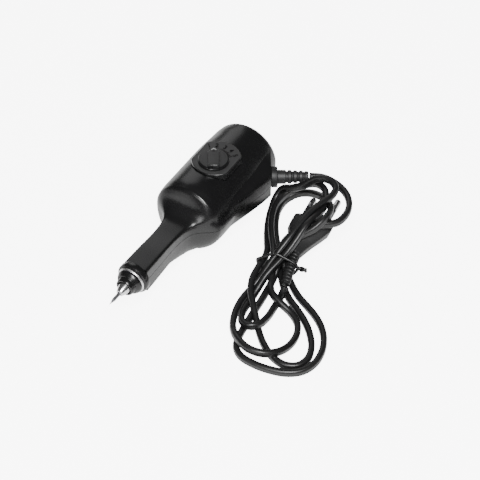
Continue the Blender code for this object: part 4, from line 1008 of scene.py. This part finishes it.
def make_nose():
    collar = turned(
        "front_collar",
        [
            (5.3, COLLAR_REAR),
            (COLLAR_RADIUS - 0.7, COLLAR_REAR),
            (COLLAR_RADIUS - 0.2, COLLAR_REAR - 0.25),
            (COLLAR_RADIUS, COLLAR_REAR - 0.7),
            (COLLAR_RADIUS, COLLAR_FRONT + 1.4),
            (COLLAR_RADIUS - 0.25, COLLAR_FRONT + 0.7),
            (COLLAR_RADIUS - 1.2, COLLAR_FRONT),
            (5.3, COLLAR_FRONT),
        ],
        closed=True,
    )
    finished(point_along_tool(collar), "black_nose", "case", ["nose_collar"])
    ring = turned(
        "chrome_ring",
        [
            (5.3, 23.0), (RING_RADIUS, 23.0), (RING_RADIUS, 22.5), (RING_RADIUS - 0.12, 22.15),
            (RING_RADIUS - 0.4, 21.9), (5.3, 21.9),
        ],
        closed=True,
    )
    finished(point_along_tool(ring), "ring_metal", "case", ["nose_ring"])
    cap = turned(
        "stepped_cap",
        [
            (SLEEVE_BORE, 36.8), (4.8, 36.8), (4.8, 21.6), (8.3, 21.6), (8.5, 21.4), (8.5, 21.0),
            (8.2, 20.3), (7.5, 19.2), (6.9, 18.5), (6.3, 18.4), (6.2, 18.2), (6.1, 17.4),
            (5.9, 16.2), (5.7, 15.6), (5.5, CAP_FRONT), (CAP_BORE, CAP_FRONT),
            (CAP_BORE, 20.4), (SLEEVE_BORE, 20.6),
        ],
        closed=True,
    )
    finished(point_along_tool(cap), "black_nose", "case", ["nose_cap"])
    chuck = turned(
        "needle_chuck",
        [
            (0, 23.6), (2.9, 23.6), (2.9, 18.2), (3.9, 18.15), (4.1, 17.9), (4.1, 15.7),
            (4.0, 15.3), (3.2, 12.9), (2.4, 10.8), (2.2, 10.45), (2.0, 10.3), (0, 10.3),
        ],
    )
    point_along_tool(chuck)
    shaft_hole = point_along_tool(rod("chuck_rear_hole", 1.7, 15.8, 30))
    needle_hole = point_along_tool(rod("chuck_front_hole", NEEDLE_RADIUS + 0.15, 5, 15.1))
    grub_hole = place_upright(rod("grub_hole", 0.95, -8, -0.5), 13.9, 0)
    cut(chuck, shaft_hole, needle_hole, grub_hole)
    finished(chuck, "bright_metal", "needle_rod", ["chuck"])
    needle = turned(
        "hard_needle",
        [
            (0, 14.9), (NEEDLE_RADIUS, 14.9), (NEEDLE_RADIUS, 4.6), (1.05, 4.2),
            (0.12, 0.12), (0.05, 0.03), (0, 0),
        ],
    )
    finished(point_along_tool(needle), "hard_steel", "needle_rod", ["engraving_needle"])


# ---------------------------------------------------------------- dial

def dial_outline(extra=0.0):
    """Round plate with two straight sides along the tool."""
    radius, flat = DIAL_PLATE_RADIUS + extra, DIAL_FLAT + extra
    limit = math.acos(flat / radius)
    outline = []
    for start, end in ((limit, math.pi - limit), (math.pi + limit, 2 * math.pi - limit)):
        for i in range(13):
            angle = start + (end - start) * i / 12
            outline.append((radius * math.cos(angle), radius * math.sin(angle)))
    return outline


def make_dial():
    plate = prism("scale_plate", dial_outline(), DIAL_PLATE_FLOOR, DIAL_PLATE_TOP)
    add_bevel(plate, 0.6, segments=4)
    place_upright(plate, DIAL_PLATE_ALONG, 0, DIAL_X)
    stem_way = place_upright(rod("plate_hole", DIAL_STEM_RADIUS + GAP, 10, 40), DIAL_ALONG, 0, DIAL_X)
    # The plate's top faces get a rougher copy of the black painted lighter for sheen; its walls stay the
    # plain dark black
    finished(cut(plate, stem_way), "black_nose", "case", ["dial_plate"], top_with_painted_sheen="dial_plate")

    base = DIAL_PLATE_TOP + GAP
    knob = turned(
        "stroke_knob",
        [
            (0, base + 1.9), (KNOB_RADIUS - 1.0, base + 1.9), (KNOB_RADIUS - 0.4, base + 1.7),
            (KNOB_RADIUS, base + 1.2), (KNOB_RADIUS, base), (DIAL_STEM_RADIUS, base),
            (DIAL_STEM_RADIUS, 17.3), (0, 17.3),
        ],
        steps=96,
    )
    place_upright(knob, DIAL_ALONG, 0, DIAL_X)
    reach = KNOB_RADIUS - 0.35
    outline = [(-reach, -3.6), (reach - 4.2, -3.9), (reach, 0), (reach - 4.2, 3.9), (-reach, 3.6)]
    bar = prism("knob_bar", outline, base + 1.0, base + 5.0)
    slope_top(bar, -reach, BAR_SLOPE)
    add_bevel(bar, 0.6, segments=4)
    bar.rotation_euler = (0, 0, math.radians(KNOB_ANGLE))
    place_upright(bar, DIAL_ALONG, 0, DIAL_X)
    dimple = rod("bar_dimple", 0.8, base + 2.6, base + 6)
    turn = math.radians(KNOB_ANGLE)
    place_upright(dimple, DIAL_ALONG + 5.0 * math.sin(turn), 0, DIAL_X + 5.0 * math.cos(turn))
    screw_hole = place_upright(rod("knob_screw_hole", 1.45, 10, 24), DIAL_ALONG, 0, DIAL_X)
    join(knob, bar)
    cut(knob, dimple, screw_hole)
    # The knob's top faces get a rougher copy of the black painted lighter for sheen; its sides stay the
    # plain dark black
    finished(knob, "black_nose", "dial", ["dial_knob"], top_with_painted_sheen="black_knob")

    tip = reach - 0.7
    chevron = prism(
        "pointer_tip",
        [
            (tip, 0), (tip - 1.7, 1.5), (tip - 2.5, 1.5),
            (tip - 1.2, 0), (tip - 2.5, -1.5), (tip - 1.7, -1.5),
        ],
        base + 4.9,
        base + 5.08,
    )
    slope_top(chevron, -reach, BAR_SLOPE, whole=True)
    chevron.rotation_euler = (0, 0, turn)
    finished(place_upright(chevron, DIAL_ALONG, 0, DIAL_X), "white_mark", "dial")
    make_scale()


def make_scale():
    """Raised numbers from 1 to 5 and the fine strokes between them and the knob."""
    top = DIAL_PLATE_TOP
    for number, angle in zip("12345", (SCALE_START, 113.5, 91, 71, SCALE_END)):
        turn = math.radians(angle)
        letters = bpy.data.curves.new("number_" + number, "FONT")
        letters.body = number
        letters.size = 4.4 * MM
        letters.offset = 0.06 * MM
        letters.extrude = 0.11 * MM
        letters.align_x = "CENTER"
        letters.align_y = "CENTER"
        item = new_object("number_" + number, letters)
        x, distance = DIAL_X + 14.0 * math.cos(turn), DIAL_ALONG + 14.0 * math.sin(turn)
        place_upright(item, distance, top + 0.05, x)
        item.rotation_euler = (0, 0, turn - math.pi / 2)
        finished(item, "dial_marks", "case")
    for i in range(SCALE_STROKES):
        turn = math.radians(SCALE_START - (SCALE_START - SCALE_END) * i / (SCALE_STROKES - 1))
        long_stroke = i % 3 == 0
        stroke = block("stroke_%02d" % i, (1.9 if long_stroke else 1.3, 0.42, 0.2))
        middle = 11.15 if long_stroke else 10.9
        x, distance = DIAL_X + middle * math.cos(turn), DIAL_ALONG + middle * math.sin(turn)
        place_upright(stroke, distance, top + 0.05, x)
        stroke.rotation_euler = (0, 0, turn)
        finished(stroke, "dial_marks", "case")


# ---------------------------------------------------------------- boot

def boot_point(outwards, sideways, height):
    """(x, distance along the tool, height) of a point near the boot's axis."""
    angle = math.radians(FACET_ANGLE)
    x = FACET_X + outwards * math.cos(angle) - sideways * math.sin(angle)
    distance = FACET_ALONG + outwards * math.sin(angle) + sideways * math.cos(angle)
    return x, distance, height


def make_boot():
    """Ribbed strain relief: each rib has a rounded edge."""
    profile = [(0, 24.0), (2.7, 24.0), (3.1, 23.8), (3.5, 23.3)]
    for low, high, radius, waist in (
        (21.6, 23.3, 3.6, 3.0), (18.0, 20.2, 3.9, 3.2),
        (14.4, 16.6, 4.1, 3.4), (10.8, 13.0, 4.4, 3.6),
    ):
        if high < 23:
            profile += [(waist, high + 0.2), (radius - 0.3, high), (radius, high - 0.3)]
        profile += [(radius, low + 0.3), (radius - 0.3, low), (waist, low - 0.2)]
    profile += [
        (3.6, 9.7), (4.3, 9.5), (4.5, 9.2), (4.55, 4.4), (4.7, 4.2), (6.2, 4.2), (6.55, 4.05),
        (6.7, 3.7), (6.7, 0.6), (6.5, 0.3), (4.0, 0.3), (4.0, -3.2), (5.8, -3.2), (5.8, -5.2),
        (4.0, -5.2), (3.6, -8.0), (0, -8.0),
    ]
    boot = on_boot_axis(turned("ribbed_boot", profile, steps=56), 0)
    finished(boot, "rubber", "case", ["cord_boot"])


# ---------------------------------------------------------------- camera, light and floor

def make_camera():
    data = bpy.data.cameras.new("camera")
    data.lens = 127.5
    data.sensor_width = 36
    data.clip_end = 20
    item = new_object("camera", data)
    rows = Matrix(((0.8517, -0.3769, 0.3640), (0.5240, 0.6126, -0.5917), (0.0, 0.6947, 0.7193)))
    item.matrix_world = Matrix.Translation((0.4172, -0.6349, 0.7722)) @ rows.to_4x4()
    bpy.context.scene.camera = item


def add_light(name, place, towards, size, power):
    data = bpy.data.lights.new(name, "AREA")
    data.shape = "RECTANGLE"
    data.size, data.size_y = size
    data.energy = power
    item = new_object(name, data)
    item.location = place
    item.rotation_euler = (Vector(towards) - Vector(place)).to_track_quat("-Z", "Y").to_euler()


def make_studio():
    """Floor that is white to the camera and dimmer as light on the tool, a dim world, and soft boxes."""
    world = bpy.data.worlds.new("studio")
    world.use_nodes = True
    background = world.node_tree.nodes["Background"]
    background.inputs["Color"].default_value = (1, 1, 1, 1)
    background.inputs["Strength"].default_value = 0.09
    bpy.context.scene.world = world

    floor = block("floor", (6000, 6000, 1))
    floor.location = (0, 0, -0.0005)
    white = bpy.data.materials.new("floor_white")
    white.use_nodes = True
    shader = white.node_tree.nodes["Principled BSDF"]
    shader.inputs["Base Color"].default_value = (0.93, 0.93, 0.93, 1)
    shader.inputs["Roughness"].default_value = 0.9
    shader.inputs["Specular IOR Level"].default_value = 0.1
    shader.inputs["Emission Color"].default_value = (1, 1, 1, 1)
    tree = white.node_tree
    glow = tree.nodes.new("ShaderNodeMapRange")
    glow.inputs["To Min"].default_value = FLOOR_LIGHT
    glow.inputs["To Max"].default_value = FLOOR_BACKDROP
    path = tree.nodes.new("ShaderNodeLightPath")
    tree.links.new(path.outputs["Is Camera Ray"], glow.inputs["Value"])
    tree.links.new(glow.outputs["Result"], shader.inputs["Emission Strength"])
    floor.data.materials.append(white)

    add_light("overhead_softbox", (0.36, -0.44, 0.94), (0, 0, 0), (0.35, 0.5), 16)
    add_light("front_softbox", (0.15, -1.0, 0.62), (0, 0, 0.02), (0.5, 0.4), 5)
    add_light("rear_softbox", (-0.55, 0.63, 0.55), (0, 0, 0.02), (0.5, 0.65), 1.2)


make_camera()
lead, tie, lead_path, lead_length = make_lead()
make_plug()
make_housing()
make_nose()
make_dial()
make_boot()
clear_spent()
dress_inner_nodes()
make_studio()

bpy.context.view_layer.update()
